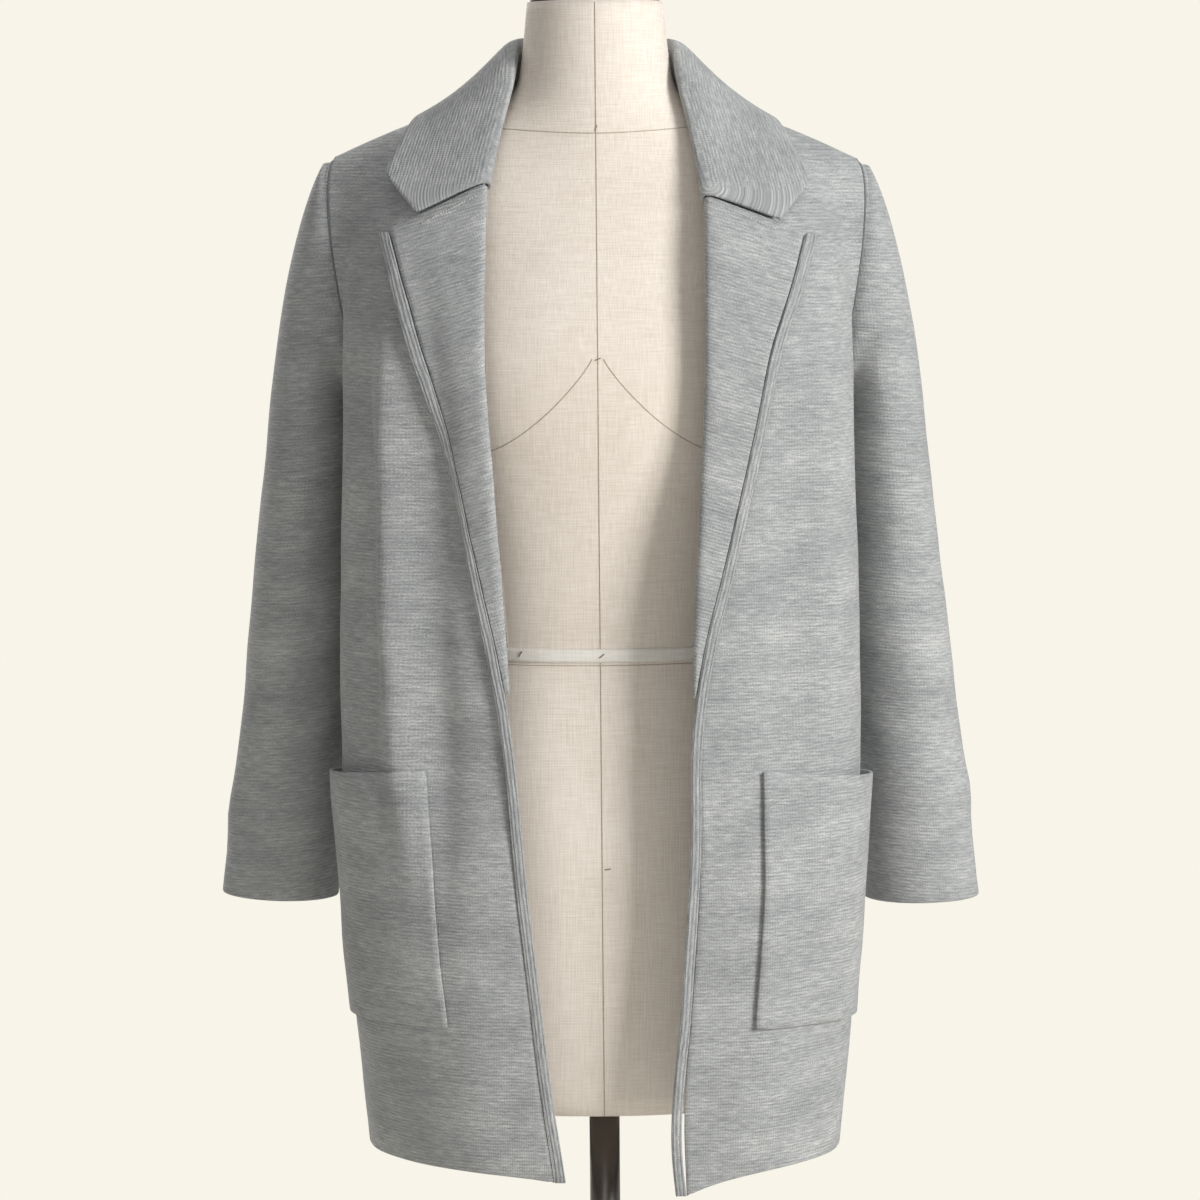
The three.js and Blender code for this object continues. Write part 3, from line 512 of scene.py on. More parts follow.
def hang_sleeve(points: np.ndarray, sign: int) -> np.ndarray:
    """Moves a sleeve's points into its creases."""
    turn, away = sleeve_turn(points, sign)
    z = points[:, 2]
    height = np.zeros_like(z)
    shift = 0.017 * sign
    for crease in SLEEVE_CREASES:
        t = (turn - crease.turn_start) / (crease.turn_end - crease.turn_start)
        level = crease.z_start + (crease.z_end - crease.z_start) * t
        middle = level + shift * math.sin(41.0 * crease.z_start)
        ends = ease(-0.1, 0.35, t) * (1.0 - ease(0.65, 1.1, t))
        height += crease.rise * np.exp(-(((z - middle) / crease.width) ** 2)) * ends
    height += 0.0009 * ripple(points, 0.04, 2.6 + sign) + 0.0012 * ripple(points, 0.1, 5.1 + sign)
    free = (1.0 - ease(1.16, 1.26, z)) * (1.0 - 0.75 * ease(2.1, 2.9, np.abs(turn)))
    free = np.maximum(free, 0.55 * (np.abs(turn) < 1.5) * (1.0 - ease(1.30, 1.37, z)))
    return points + away * (height * free)[:, None]


# ---- the grain of each piece -----------------------------------------------------------------


def write_grain(obj: bpy.types.Object, along: np.ndarray, across: np.ndarray, loop: float = 0.0) -> None:
    """Stores a piece's grain as a UV map in metres.

    Args:
        obj: the piece.
        along: each point's place along the courses.
        across: its place across them.
        loop: the length after which along starts again on a tube, or 0.
    """
    mesh = obj.data
    layer = mesh.uv_layers.get("grain") or mesh.uv_layers.new(name="grain")
    corners = np.empty(len(mesh.loops), dtype=np.int64)
    mesh.loops.foreach_get("vertex_index", corners)
    u = along[corners].copy()
    if loop:
        starts = np.empty(len(mesh.polygons), dtype=np.int64)
        totals = np.empty(len(mesh.polygons), dtype=np.int64)
        mesh.polygons.foreach_get("loop_start", starts)
        mesh.polygons.foreach_get("loop_total", totals)
        highest = np.repeat(np.maximum.reduceat(u, starts), totals)
        u[(highest - u) > loop / 2] += loop
    layer.data.foreach_set("uv", np.stack([u, across[corners]], axis=1).ravel())


def grain_round(obj: bpy.types.Object) -> None:
    """Lays the courses level round the body."""
    x, y, z = points_of(obj.data).T
    write_grain(obj, np.arctan2(x, -(y + 0.02)) * 0.17, z + HANG_TILT * x)


def grain_slanted(obj: bpy.types.Object, angle: float) -> None:
    """Lays the courses at an angle to the level, seen from the front."""
    x, _, z = points_of(obj.data).T
    write_grain(obj, x * math.cos(angle) + z * math.sin(angle), z * math.cos(angle) - x * math.sin(angle))


def grain_sleeve(obj: bpy.types.Object, sign: int) -> None:
    """Lays the courses round a sleeve, with the join of the pattern on its hidden inner side."""
    points = points_of(obj.data)
    turn, _ = sleeve_turn(points, sign)
    radius = 0.043
    write_grain(obj, turn * radius, points[:, 2] + 0.05 * sign * points[:, 0], 2.0 * math.pi * radius)


def grain_by_line(obj: bpy.types.Object, line: np.ndarray) -> None:
    """Lays the courses along a line on the piece: along it, and by the distance from it."""
    points = points_of(obj.data)
    lengths = np.concatenate([[0.0], np.cumsum(np.linalg.norm(np.diff(line, axis=0), axis=1))])
    along = np.empty(len(points))
    across = np.empty(len(points))
    for start in range(0, len(points), 4000):
        part = points[start : start + 4000]
        gaps = np.linalg.norm(part[:, None, :] - line[None, :, :], axis=2)
        nearest = gaps.argmin(axis=1)
        along[start : start + 4000] = lengths[nearest]
        across[start : start + 4000] = gaps[np.arange(len(part)), nearest]
    write_grain(obj, along, across)


def grain_down_band(obj: bpy.types.Object) -> None:
    """Lays the ribs of a narrow band along it, by its middle line at each height."""
    x, _, z = points_of(obj.data).T
    edges = np.linspace(z.min(), z.max(), 90)
    which = np.clip(np.digitize(z, edges) - 1, 0, 88)
    middles = np.array(
        [(x[which == k].min() + x[which == k].max()) / 2 if np.any(which == k) else np.nan for k in range(89)]
    )
    heights = (edges[:-1] + edges[1:]) / 2
    good = ~np.isnan(middles)
    middle = np.interp(z, heights[good], middles[good])
    slope = np.gradient(middles[good], heights[good])
    lean = np.interp(z, heights[good], slope)
    write_grain(obj, z, (x - middle) / np.hypot(1.0, lean))


# ---- sewn pieces -----------------------------------------------------------------------------


@dataclass(frozen=True)
class Cut:
    """The flat size that a piece of cloth was cut to: width, length and area."""

    width: float
    length: float
    area: float
    held: str = "hung"


def cloth_piece(
    node: str,
    material: bpy.types.Material,
    obj: bpy.types.Object,
) -> None:
    """Dresses a finished piece of cloth.

    Args:
        node: the frame node that it stands for.
        material: its finish.
        obj: the piece.
    """
    obj.data.materials.append(material)
    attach(obj, "root")
    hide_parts(node)
    LOG.info("%s: %d faces", obj.name, len(obj.data.polygons))


@dataclass
class Blazer:
    """The knit blazer: its panels, sleeves, lapels, collar, bands and pockets."""

    knit: KnitFinish = KnitFinish()
    band: KnitFinish = KnitFinish(name="heather_band", course=0.0019, rib=0.0024)
    body_cut: Cut = Cut(0.50, 0.80, 0.33)
    front_cut: Cut = Cut(0.27, 0.81, 0.165)
    sleeve_cut: Cut = Cut(0.33, 0.57, 0.13)
    collar_cut: Cut = Cut(0.52, 0.125, 0.053)
    lapel_cut: Cut = Cut(0.085, 0.355, 0.0150)
    band_cut: Cut = Cut(0.0105, 0.72, 0.0072)
    pocket_cut: Cut = Cut(0.172, 0.19, 0.0305)
    roll: tuple[tuple[float, float, float], ...] = (
        (0.0, 0.077, 1.481),
        (0.034, 0.068, 1.483),
        (0.057, 0.034, 1.485),
        (0.0595, 0.008, 1.483),
        (0.060, -0.016, 1.468),
        (0.0625, -0.034, 1.446),
        (0.068, -0.050, 1.426),
        (0.0745, -0.068, 1.402),
        (0.081, -0.086, 1.376),
    )
    lapel_slant: float = math.radians(17)
    pieces: dict[str, bpy.types.Object] = field(default_factory=dict)

    def build(self) -> None:
        """Makes and dresses every piece of the blazer."""
        knit = self.knit.build()
        band = self.band.build()
        self.panel("back", knit)
        for side, sign in (("left", 1), ("right", -1)):
            self.panel(f"front_{side}", knit)
            self.panel(f"pocket_{side}", knit)
            self.lapel(side, sign, knit)
            self.sleeve(side, sign, knit)
            self.edge_band(side, band)
        self.collar(knit)

    def panel(self, node: str, material: bpy.types.Material) -> None:
        """Makes a piece whose courses run level round the body."""
        obj = refined(node, f"knit_{node}", crease=RIM_CREASE)
        grain_round(obj)
        set_points(obj.data, hang_body(points_of(obj.data)))
        cloth_piece(node, material, obj)
        self.pieces[node] = obj

    def lapel(self, side: str, sign: int, material: bpy.types.Material) -> None:
        """Makes a lapel; its courses slope with the gorge."""
        node = f"lapel_{side}"
        obj = refined(node, f"knit_{node}", crease=RIM_CREASE)
        grain_slanted(obj, -sign * self.lapel_slant)
        set_points(obj.data, hang_body(points_of(obj.data)))
        cloth_piece(node, material, obj)
        self.pieces[node] = obj

    def sleeve(self, side: str, sign: int, material: bpy.types.Material) -> None:
        """Makes a sleeve tube with its creases."""
        node = f"sleeve_{side}"
        obj = refined(node, f"knit_{node}", crease=RIM_CREASE)
        grain_sleeve(obj, sign)
        set_points(obj.data, hang_sleeve(points_of(obj.data), sign))
        cloth_piece(node, material, obj)
        self.pieces[node] = obj

    def edge_band(self, side: str, material: bpy.types.Material) -> None:
        """Makes the narrow band down a lapel and front edge."""
        node = f"edge_band_{side}"
        obj = refined(node, f"knit_{node}", crease=RIM_CREASE)
        grain_down_band(obj)
        set_points(obj.data, hang_body(points_of(obj.data)))
        cloth_piece(node, material, obj)
        self.pieces[node] = obj

    def roll_line(self) -> np.ndarray:
        """Returns the collar's fold line from one gorge to the other, as close points."""
        half = np.array(self.roll)
        whole = np.concatenate([half[:0:-1] * (-1.0, 1.0, 1.0), half])
        t = np.linspace(0.0, len(whole) - 1.0, 400)
        return np.stack([np.interp(t, np.arange(len(whole)), whole[:, k]) for k in range(3)], axis=1)

    def collar(self, material: bpy.types.Material) -> None:
        """Makes the collar with its stand; its courses follow the fold line."""
        obj = refined("collar", "knit_collar", crease=RIM_CREASE)
        grain_by_line(obj, self.roll_line())
        set_points(obj.data, hang_body(points_of(obj.data)))
        cloth_piece("collar", material, obj)
        self.pieces["collar"] = obj


# ---- threads and stitches --------------------------------------------------------------------


class Thread(Enum):
    """How a path is sewn: as one thread lying along it, or as separate short stitches."""

    LAID = "laid"
    STITCHED = "stitched"


@dataclass(frozen=True)
class ThreadWork:
    """Threads or stitches that follow paths, made by one node tree."""

    name: str
    kind: Thread
    radius: float
    spacing: float
    stitch: float = 0.0
    seed: int = 3

    def tree(self) -> tuple[bpy.types.GeometryNodeTree, dict[str, str]]:
        """Builds the node tree.

        Returns:
            The tree, and the identifier of each named input.
        """
        tree = bpy.data.node_groups.new(f"{self.name}_tree", "GeometryNodeTree")
        face = tree.interface
        face.new_socket("Geometry", in_out="INPUT", socket_type="NodeSocketGeometry")
        names = {}
        for label in ("Radius", "Spacing", "Stitch"):
            names[label] = face.new_socket(label, in_out="INPUT", socket_type="NodeSocketFloat").identifier
        material = face.new_socket("Material", in_out="INPUT", socket_type="NodeSocketMaterial")
        names["Material"] = material.identifier
        face.new_socket("Geometry", in_out="OUTPUT", socket_type="NodeSocketGeometry")
        new, join = tree.nodes.new, tree.links.new
        start = new("NodeGroupInput")
        curve = new("GeometryNodeMeshToCurve")
        join(start.outputs["Geometry"], curve.inputs[0])
        even = new("GeometryNodeResampleCurve")
        even.mode = "LENGTH"
        join(curve.outputs[0], even.inputs["Curve"])
        join(start.outputs["Spacing"], even.inputs["Length"])
        if self.kind is Thread.LAID:
            ring = new("GeometryNodeCurvePrimitiveCircle")
            ring.inputs["Resolution"].default_value = 6
            join(start.outputs["Radius"], ring.inputs["Radius"])
            made = new("GeometryNodeCurveToMesh")
            made.inputs["Fill Caps"].default_value = True
            join(even.outputs[0], made.inputs["Curve"])
            join(ring.outputs[0], made.inputs["Profile Curve"])
            result = made.outputs[0]
        else:
            result = self.stitches(tree, start, even.outputs[0])
        whole = new("GeometryNodeRealizeInstances")
        join(result, whole.inputs[0])
        smooth = new("GeometryNodeSetShadeSmooth")
        join(whole.outputs[0], smooth.inputs[0])
        finish = new("GeometryNodeSetMaterial")
        join(smooth.outputs[0], finish.inputs["Geometry"])
        join(start.outputs["Material"], finish.inputs["Material"])
        join(finish.outputs[0], new("NodeGroupOutput").inputs[0])
        return tree, names

    def stitches(
        self, tree: bpy.types.GeometryNodeTree, start: bpy.types.Node, path: bpy.types.NodeSocket
    ) -> bpy.types.NodeSocket:
        """Adds the nodes that set one rounded stitch at each point of the path.

        Args:
            tree: the tree to add to.
            start: its input node.
            path: the evenly spaced curve.

        Returns:
            The socket that holds the stitches.
        """
        new, join = tree.nodes.new, tree.links.new
        bead = new("GeometryNodeMeshUVSphere")
        bead.inputs["Segments"].default_value = 7
        bead.inputs["Rings"].default_value = 5
        bead.inputs["Radius"].default_value = 1.0
        size = new("ShaderNodeCombineXYZ")
        half = new("ShaderNodeMath")
        half.operation = "MULTIPLY"
        half.inputs[1].default_value = 0.5
        join(start.outputs["Stitch"], half.inputs[0])
        join(start.outputs["Radius"], size.inputs[0])
        join(start.outputs["Radius"], size.inputs[1])
        join(half.outputs[0], size.inputs[2])
        uneven = new("FunctionNodeRandomValue")
        uneven.data_type = "FLOAT"
        uneven.inputs["Min"].default_value = 0.75
        uneven.inputs["Max"].default_value = 1.2
        uneven.inputs["Seed"].default_value = self.seed
        scaled = new("ShaderNodeVectorMath")
        scaled.operation = "SCALE"
        join(size.outputs[0], scaled.inputs[0])
        join(uneven.outputs[1], scaled.inputs["Scale"])
        tangent = new("GeometryNodeInputTangent")
        turn = new("FunctionNodeAlignRotationToVector")
        turn.axis = "Z"
        join(tangent.outputs[0], turn.inputs["Vector"])
        placed = new("GeometryNodeInstanceOnPoints")
        join(path, placed.inputs["Points"])
        join(bead.outputs["Mesh"], placed.inputs["Instance"])
        join(turn.outputs[0], placed.inputs["Rotation"])
        join(scaled.outputs[0], placed.inputs["Scale"])
        return placed.outputs[0]

    def sew(self, paths: list[np.ndarray], material: bpy.types.Material, slot: str) -> bpy.types.Object:
        """Makes the threads along paths as one plain mesh.

        Args:
            paths: each path's points.
            material: the thread's finish.
            slot: not used.

        Returns:
            The finished piece.
        """
        points: list[tuple[float, ...]] = []
        edges: list[tuple[int, int]] = []
        for path in paths:
            first = len(points)
            points.extend(map(tuple, path))
            edges.extend((first + k, first + k + 1) for k in range(len(path) - 1))
        mesh = bpy.data.meshes.new(self.name)
        mesh.from_pydata(points, edges, [])
        obj = add_object(self.name, mesh)
        tree, names = self.tree()
        maker = obj.modifiers.new("threads", "NODES")
        maker.node_group = tree
        maker[names["Radius"]] = self.radius
        maker[names["Spacing"]] = self.spacing
        maker[names["Stitch"]] = self.stitch
        maker[names["Material"]] = material
        plain_mesh(obj)
        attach(obj, "root")
        LOG.info("%s: %d faces", obj.name, len(obj.data.polygons))
        return obj


def smooth_path(path: np.ndarray, count: int) -> np.ndarray:
    """Returns a path's points again, count of them, evenly along it and a little smoothed."""
    lengths = np.concatenate([[0.0], np.cumsum(np.linalg.norm(np.diff(path, axis=0), axis=1))])
    at = np.linspace(0.0, lengths[-1], count)
    even = np.stack([np.interp(at, lengths, path[:, k]) for k in range(3)], axis=1)
    for _ in range(6):
        even[1:-1] = (even[:-2] + 2.0 * even[1:-1] + even[2:]) / 4.0
    return even


def dropped_on(pieces: list[bpy.types.Object], path: np.ndarray, away: np.ndarray, rise: float) -> np.ndarray:
    """Drops a path's points onto pieces.

    Args:
        pieces: what they may land on.
        path: points near the surface.
        away: for each point, the direction out of the surface.
        rise: how far above the surface they end.

    Returns:
        The points that found the surface.
    """
    trees = []
    for piece in pieces:
        mesh = piece.data
        trees.append(BVHTree.FromPolygons([v.co for v in mesh.vertices], [p.vertices for p in mesh.polygons]))
    found = []
    for point, out in zip(path, away):
        out = Vector(out).normalized()
        start = Vector(point) + out * 0.2
        hits = [tree.ray_cast(start, -out, 0.4) for tree in trees]
        hits = [hit for hit in hits if hit[0] is not None]
        if hits:
            found.append(min(hits, key=lambda hit: hit[3])[0] + out * rise)
    return np.array([tuple(point) for point in found])


def shared_edge(first: str, second: str, reach: float) -> np.ndarray:
    """Returns the middles of the places where two frame nodes' points face each other across a seam."""
    a = np.unique(np.round(points_of(bpy.data.objects[first].data), 6), axis=0)
    b = np.unique(np.round(points_of(bpy.data.objects[second].data), 6), axis=0)
    gaps = np.linalg.norm(a[:, None, :] - b[None, :, :], axis=2)
    nearest = gaps.argmin(axis=1)
    close = gaps[np.arange(len(a)), nearest] < reach
    return (a[close] + b[nearest[close]]) / 2.0


@dataclass
class Seams:
    """The sewing that shows on the blazer."""

    blazer: Blazer
    hub: tuple[float, float, float] = (0.115, 0.012, 1.303)
    underarm_z: float = 1.218
    gorge: dict[int, tuple[float, float, float, float]] = field(
        default_factory=lambda: {1: (0.0825, 1.3700, 0.1535, 0.66), -1: (0.0825, 1.3775, 0.1535, 0.63)}
    )
    tip_z: float = 1.341
    seam_thread: ThreadWork = ThreadWork("seam_threads", Thread.LAID, 0.00075, 0.004)
    gorge_knobs: ThreadWork = ThreadWork("gorge_seam", Thread.STITCHED, 0.00085, 0.0021, 0.0026)

    def build(self) -> None:
        """Sews the armholes, side and shoulder seams and the gorge."""
        material = ThreadFinish("seam_yarn", (0.17, 0.175, 0.178)).build()
        paths = []
        for side, sign in (("left", 1), ("right", -1)):
            paths.append(self.armhole(side, sign))
            paths.extend(self.side_and_shoulder(side, sign))
        self.seam_thread.sew([path for path in paths if len(path) > 3], material, "knit")
        light = ThreadFinish("gorge_yarn", (0.46, 0.465, 0.455)).build()
        self.gorge_knobs.sew([self.gorge_path(sign) for sign in (1, -1)], light, "knit")

    def armhole(self, side: str, sign: int) -> np.ndarray:
        """Returns the seam round an armhole, over the shoulder from front to back."""
        points = np.concatenate(
            [
                shared_edge(f"sleeve_{side}", f"front_{side}", 0.0016),
                shared_edge(f"sleeve_{side}", "back", 0.0016),
            ]
        )
        hub = np.array(self.hub) * (sign, 1.0, 1.0)
        rel = points - hub
        turn = np.arctan2(rel[:, 1], -rel[:, 2])
        order = np.argsort(turn)
        points, turn = points[order], turn[order]
        far = np.linalg.norm(points - hub, axis=1)
        keep = [k for k in range(len(points)) if far[k] >= max(far[np.abs(turn - turn[k]) < 0.06]) - 0.0008]
        ring = points[keep]
        ring = np.concatenate([ring, ring[:1]])
        inward = hub - ring
        inward /= np.linalg.norm(inward, axis=1, keepdims=True)
        return hang_body(smooth_path(ring + inward * 0.0008, 110))

    def side_and_shoulder(self, side: str, sign: int) -> list[np.ndarray]:
        """Returns the side seam and the shoulder seam of one side."""
        points = shared_edge(f"front_{side}", "back", 0.0008)
        below = points[points[:, 2] < self.underarm_z - 0.004]
        above = points[points[:, 2] > self.underarm_z + 0.09]
        side_seam = below[np.argsort(below[:, 2])]
        reach = [max(abs(side_seam[np.abs(side_seam[:, 2] - p[2]) < 0.01][:, 0])) for p in side_seam]
        outer = np.array([p for p, far in zip(side_seam, reach) if abs(p[0]) >= far - 0.0005])
        outer[:, 0] -= sign * 0.0008
        shoulder = above[np.argsort(above[:, 0] * sign)]
        crest = [max(shoulder[np.abs(shoulder[:, 0] - p[0]) < 0.006][:, 2]) for p in shoulder]
        top = np.array([p for p, high in zip(shoulder, crest) if p[2] >= high - 0.0006])
        top[:, 2] -= 0.0008
        return [hang_body(smooth_path(outer, 120)), hang_body(smooth_path(top, 30))]

    def gorge_path(self, sign: int) -> np.ndarray:
        """Returns the path of the knobbly seam between collar and lapel."""
        inner_x, inner_z, outer_x, notch = self.gorge[sign]
        t = np.linspace(0.0, notch, 40)
        x = sign * (inner_x + (outer_x - inner_x) * t)
        z = inner_z + (self.tip_z - inner_z) * t
        z = z - HANG_TILT * x
        path = np.stack([x, np.full_like(x, -0.1), z], axis=1)
        side = "left" if sign > 0 else "right"
        pieces = [self.blazer.pieces[f"lapel_{side}"], self.blazer.pieces["collar"]]
        away = np.tile([0.25 * sign, -1.0, 0.35], (len(path), 1))
        return smooth_path(dropped_on(pieces, path, away, -0.0001), 40)


# ---- the dress form and its stand ------------------------------------------------------------


@dataclass(frozen=True)
class FormSeam:
    """A seam down the form's cover: x at each height, on one face, as one or more threads."""

    line: tuple[tuple[float, float], ...]
    low: float
    high: float
    face: Face = Face.FRONT
    both_sides: bool = False
    threads: tuple[float, ...] = (0.0,)


# Small tacks on the form's front: across, up and the lean from upright in radians.
FORM_MARKS = (
    (0.0, 1.4195, 0.3),
    (0.0, 1.2555, 1.2),
    (0.001, 1.04, 0.9),
    (-0.058, 1.041, 0.5),
    (0.004, 0.8855, 1.4),
)
MARK_HALF_LENGTH = 0.0022
PRINCESS = (
    (0.70, 0.083),
    (0.84, 0.086),
    (0.95, 0.078),
    (1.04, 0.068),
    (1.12, 0.074),
    (1.20, 0.088),
    (1.26, 0.09),
    (1.34, 0.1),
)
FORM_SEAMS = (
    FormSeam(((0.70, 0.0), (1.52, 0.0)), 0.70, 1.512),
    FormSeam(((0.70, 0.0), (1.52, 0.0)), 0.70, 1.512, Face.BACK),
    FormSeam(PRINCESS, 0.70, 1.30, Face.FRONT, True, (-0.0012, 0.0012)),
    FormSeam(PRINCESS, 0.70, 1.38, Face.BACK, True),
)


@dataclass
class DressForm:
    """The limbless linen form, its waist tape and its stand."""

    linen: WovenFinish = WovenFinish("linen", (0.68, 0.60, 0.515), (0.86, 0.79, 0.71), 0.0011, 0.5)
    cotton: WovenFinish = WovenFinish("cotton_tape", (0.74, 0.70, 0.63), (0.88, 0.86, 0.80), 0.0007, 0.4)
    metal: MetalFinish = MetalFinish("dark_steel", (0.10, 0.092, 0.088), 0.34)
    tape_cut: Cut = Cut(0.70, 0.010, 0.007, "stretched")
    seam_thread: ThreadWork = ThreadWork("form_seams", Thread.LAID, 0.00042, 0.004)
    mark_thread: ThreadWork = ThreadWork("form_marks", Thread.LAID, 0.00045, 0.0015)

    def build(self) -> None:
        """Makes and dresses the form's pieces."""
        torso = refined("form_torso", "form_body", crease_angle=math.radians(60))
        torso.data.materials.append(self.linen.build())
        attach(torso, "root")
        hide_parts("form_torso")
        tape = refined("form_waist_tape", "form_tape", crease_angle=math.radians(60))
        tape.data.materials.append(self.cotton.build())
        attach(tape, "root")
        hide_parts("form_waist_tape")
        self.seams(torso)
        metal = self.metal.build()
        for node in ("form_neck_cap", "stand_pole", "stand_base"):
            obj = refined(node, f"metal_{node}", crease_angle=math.radians(25))
            obj.data.materials.append(metal)
            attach(obj, "root")
            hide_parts(node)
            LOG.info("%s: %d faces", obj.name, len(obj.data.polygons))

    def seams(self, torso: bpy.types.Object) -> None:
        """Sews the form's cover: centre, princess, bust and neck seams, with pins on the tape."""
        heights = np.linspace(0.7025, 1.5105, 160)
        paths = []
        for seam in FORM_SEAMS:
            z = heights[(heights >= seam.low) & (heights <= seam.high)]
            x = np.interp(z, [row[0] for row in seam.line], [row[1] for row in seam.line])
            for sign in (1, -1) if seam.both_sides else (1,):
                for shift in seam.threads:
                    path = np.stack([sign * x + shift, np.zeros_like(x), z], axis=1)
                    outward = np.full_like(x, float(seam.face.value))
                    away = np.stack([sign * x * 0.6, outward, 0.0 * x], axis=1)
                    away /= np.linalg.norm(away, axis=1, keepdims=True)
                    path[:, 1] = seam.face.value * 0.08
                    paths.append(dropped_on([torso], path, away, 0.0))
        for sign in (1, -1):
            t = np.linspace(0.0, 1.0, 50)
            x = sign * (0.004 + 0.098 * t)
            z = 1.2555 - 0.071 * np.sin(0.5 * math.pi * t) ** 0.85
            path = np.stack([x, np.full_like(x, -0.08), z], axis=1)
            away = np.stack([0.6 * x, np.full_like(x, -1.0), 0.0 * x], axis=1)
            paths.append(dropped_on([torso], path, away, 0.0))
        for level in (1.424, 1.033):
            turn = np.linspace(-math.pi, math.pi, 120)
            drop = 0.008 * np.cos(turn) if level > 1.4 else 0.0
            height = np.full_like(turn, level) - drop
            path = np.stack([0.05 * np.sin(turn), -0.05 * np.cos(turn), height], axis=1)
            away = np.stack([np.sin(turn), -np.cos(turn), 0.0 * turn], axis=1)
            paths.append(dropped_on([torso], path, away, 0.0))
        thread = ThreadFinish("linen_thread", (0.50, 0.43, 0.35)).build()
        self.seam_thread.sew(paths, thread, "linen")
        marks = []
        dressed = [torso, bpy.data.objects["form_tape"]]
        for x, z, lean in FORM_MARKS:
            half = MARK_HALF_LENGTH * np.array([math.sin(lean), 0.0, math.cos(lean)])
            middle = np.array([x, -0.08, z])
            path = np.array([middle - half, middle + half])
            marks.append(dropped_on(dressed, path, np.tile([0.0, -1.0, 0.0], (2, 1)), 0.0004))
        self.mark_thread.sew(marks, ThreadFinish("mark_thread", (0.30, 0.22, 0.16)).build(), "linen")


# ---- the stage -------------------------------------------------------------------------------


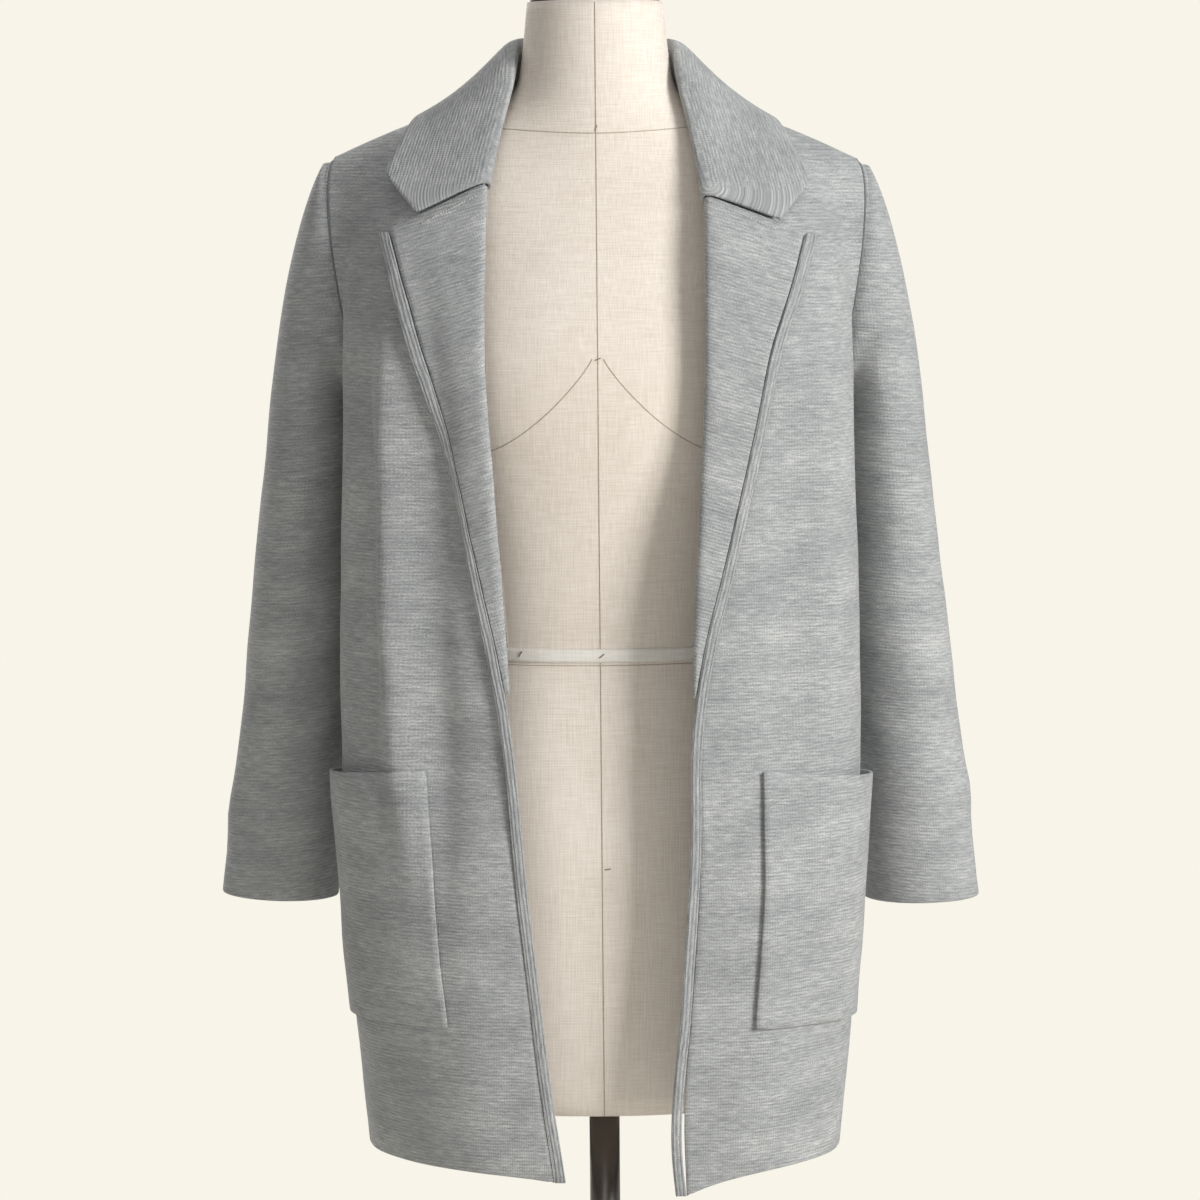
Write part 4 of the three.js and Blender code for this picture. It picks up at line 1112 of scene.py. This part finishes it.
@dataclass
class Stage:
    """Floor, plain backdrop, studio lamps and the camera."""

    backdrop: tuple[float, float, float] = (0.939, 0.905, 0.815)
    target: Vector = field(default_factory=lambda: Vector((0.0, 0.0, 1.071)))
    distance: float = 3.0
    elevation: float = math.radians(6)
    roll: float = math.radians(0.5)
    lens: float = 120.8
    floor_radius: float = 2.2
    floor_fade: float = 0.3

    def build(self) -> None:
        """Makes the camera, the lights, the floor and the world."""
        self.camera()
        self.lamp("key", (2.5, -2.0, 2.0), 1.2, 104.0)
        self.lamp("front", (-0.8, -3.6, 2.0), 2.0, 22.0)
        self.lamp("top", (0.2, 0.2, 3.6), 2.0, 14.0)
        self.lamp("rear", (-1.6, 2.9, 2.2), 2.2, 62.0)
        self.floor()
        self.world()
        bpy.context.scene.view_settings.view_transform = "Standard"

    def camera(self) -> None:
        """Makes the camera, looking slightly down at the middle of the garment."""
        data = bpy.data.cameras.new("camera")
        data.lens = self.lens
        data.sensor_width = 36.0
        obj = add_object("camera", data)
        offset = Vector((0.0, -math.cos(self.elevation), math.sin(self.elevation))) * self.distance
        obj.location = self.target + offset
        look = (-offset).to_track_quat("-Z", "Y").to_matrix().to_4x4()
        obj.rotation_euler = (look @ Matrix.Rotation(-self.roll, 4, "Z")).to_euler()
        bpy.context.scene.camera = obj

    def lamp(self, name: str, place: tuple[float, float, float], size: float, power: float) -> None:
        """Makes a square soft lamp that points at the garment."""
        data = bpy.data.lights.new(name, "AREA")
        data.size = size
        data.energy = power
        obj = add_object(name, data)
        obj.location = place
        obj.rotation_euler = (self.target - obj.location).to_track_quat("-Z", "Y").to_euler()

    def floor(self) -> None:
        """Makes a plain pale floor."""
        bm = bmesh.new()
        bmesh.ops.create_circle(bm, cap_ends=True, segments=96, radius=self.floor_radius)
        mesh = bpy.data.meshes.new("floor")
        bm.to_mesh(mesh)
        bm.free()
        obj = add_object("floor", mesh)
        obj.location.z = -0.0005
        n = Nodes.start("floor_paint")
        shader = n.add("ShaderNodeBsdfPrincipled", in_Roughness=0.8)
        shader.inputs["Base Color"].default_value = (0.88, 0.85, 0.77, 1.0)
        glow = n.add("ShaderNodeEmission")
        glow.inputs["Color"].default_value = (*self.backdrop, 1.0)
        away = n.add("ShaderNodeVectorMath", operation="LENGTH")
        n.join(n.add("ShaderNodeTexCoord").outputs["Object"], away.inputs[0])
        fade = n.add("ShaderNodeMapRange", interpolation_type="SMOOTHSTEP")
        fade.inputs["From Min"].default_value = self.floor_fade
        fade.inputs["From Max"].default_value = self.floor_radius * 0.97
        n.join(away.outputs["Value"], fade.inputs["Value"])
        seen = n.add("ShaderNodeLightPath").outputs["Is Camera Ray"]
        mix = n.add("ShaderNodeMixShader")
        n.join(n.math("MULTIPLY", fade.outputs[0], seen), mix.inputs[0])
        n.join(shader.outputs[0], mix.inputs[1])
        n.join(glow.outputs[0], mix.inputs[2])
        mesh.materials.append(n.finish(mix))

    def world(self) -> None:
        """Lights the scene softly and shows the plain backdrop to the camera."""
        world = bpy.data.worlds.new("studio")
        bpy.context.scene.world = world
        world.use_nodes = True
        tree = world.node_tree
        tree.nodes.clear()
        path = tree.nodes.new("ShaderNodeLightPath")
        seen = tree.nodes.new("ShaderNodeMath")
        seen.operation = "MAXIMUM"
        tree.links.new(path.outputs["Is Camera Ray"], seen.inputs[0])
        tree.links.new(path.outputs["Is Glossy Ray"], seen.inputs[1])
        soft = tree.nodes.new("ShaderNodeBackground")
        soft.inputs[0].default_value = (1.0, 0.985, 0.96, 1.0)
        soft.inputs[1].default_value = 0.25
        plain = tree.nodes.new("ShaderNodeBackground")
        plain.inputs[0].default_value = (*self.backdrop, 1.0)
        mix = tree.nodes.new("ShaderNodeMixShader")
        output = tree.nodes.new("ShaderNodeOutputWorld")
        tree.links.new(seen.outputs[0], mix.inputs[0])
        tree.links.new(soft.outputs[0], mix.inputs[1])
        tree.links.new(plain.outputs[0], mix.inputs[2])
        tree.links.new(mix.outputs[0], output.inputs[0])


def main() -> None:
    """Builds the stage, the form and the blazer."""
    logging.basicConfig(level=logging.INFO, format="%(message)s")
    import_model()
    Stage().build()
    DressForm().build()
    blazer = Blazer()
    blazer.build()
    Seams(blazer).build()


if __name__ == "__main__":
    main()
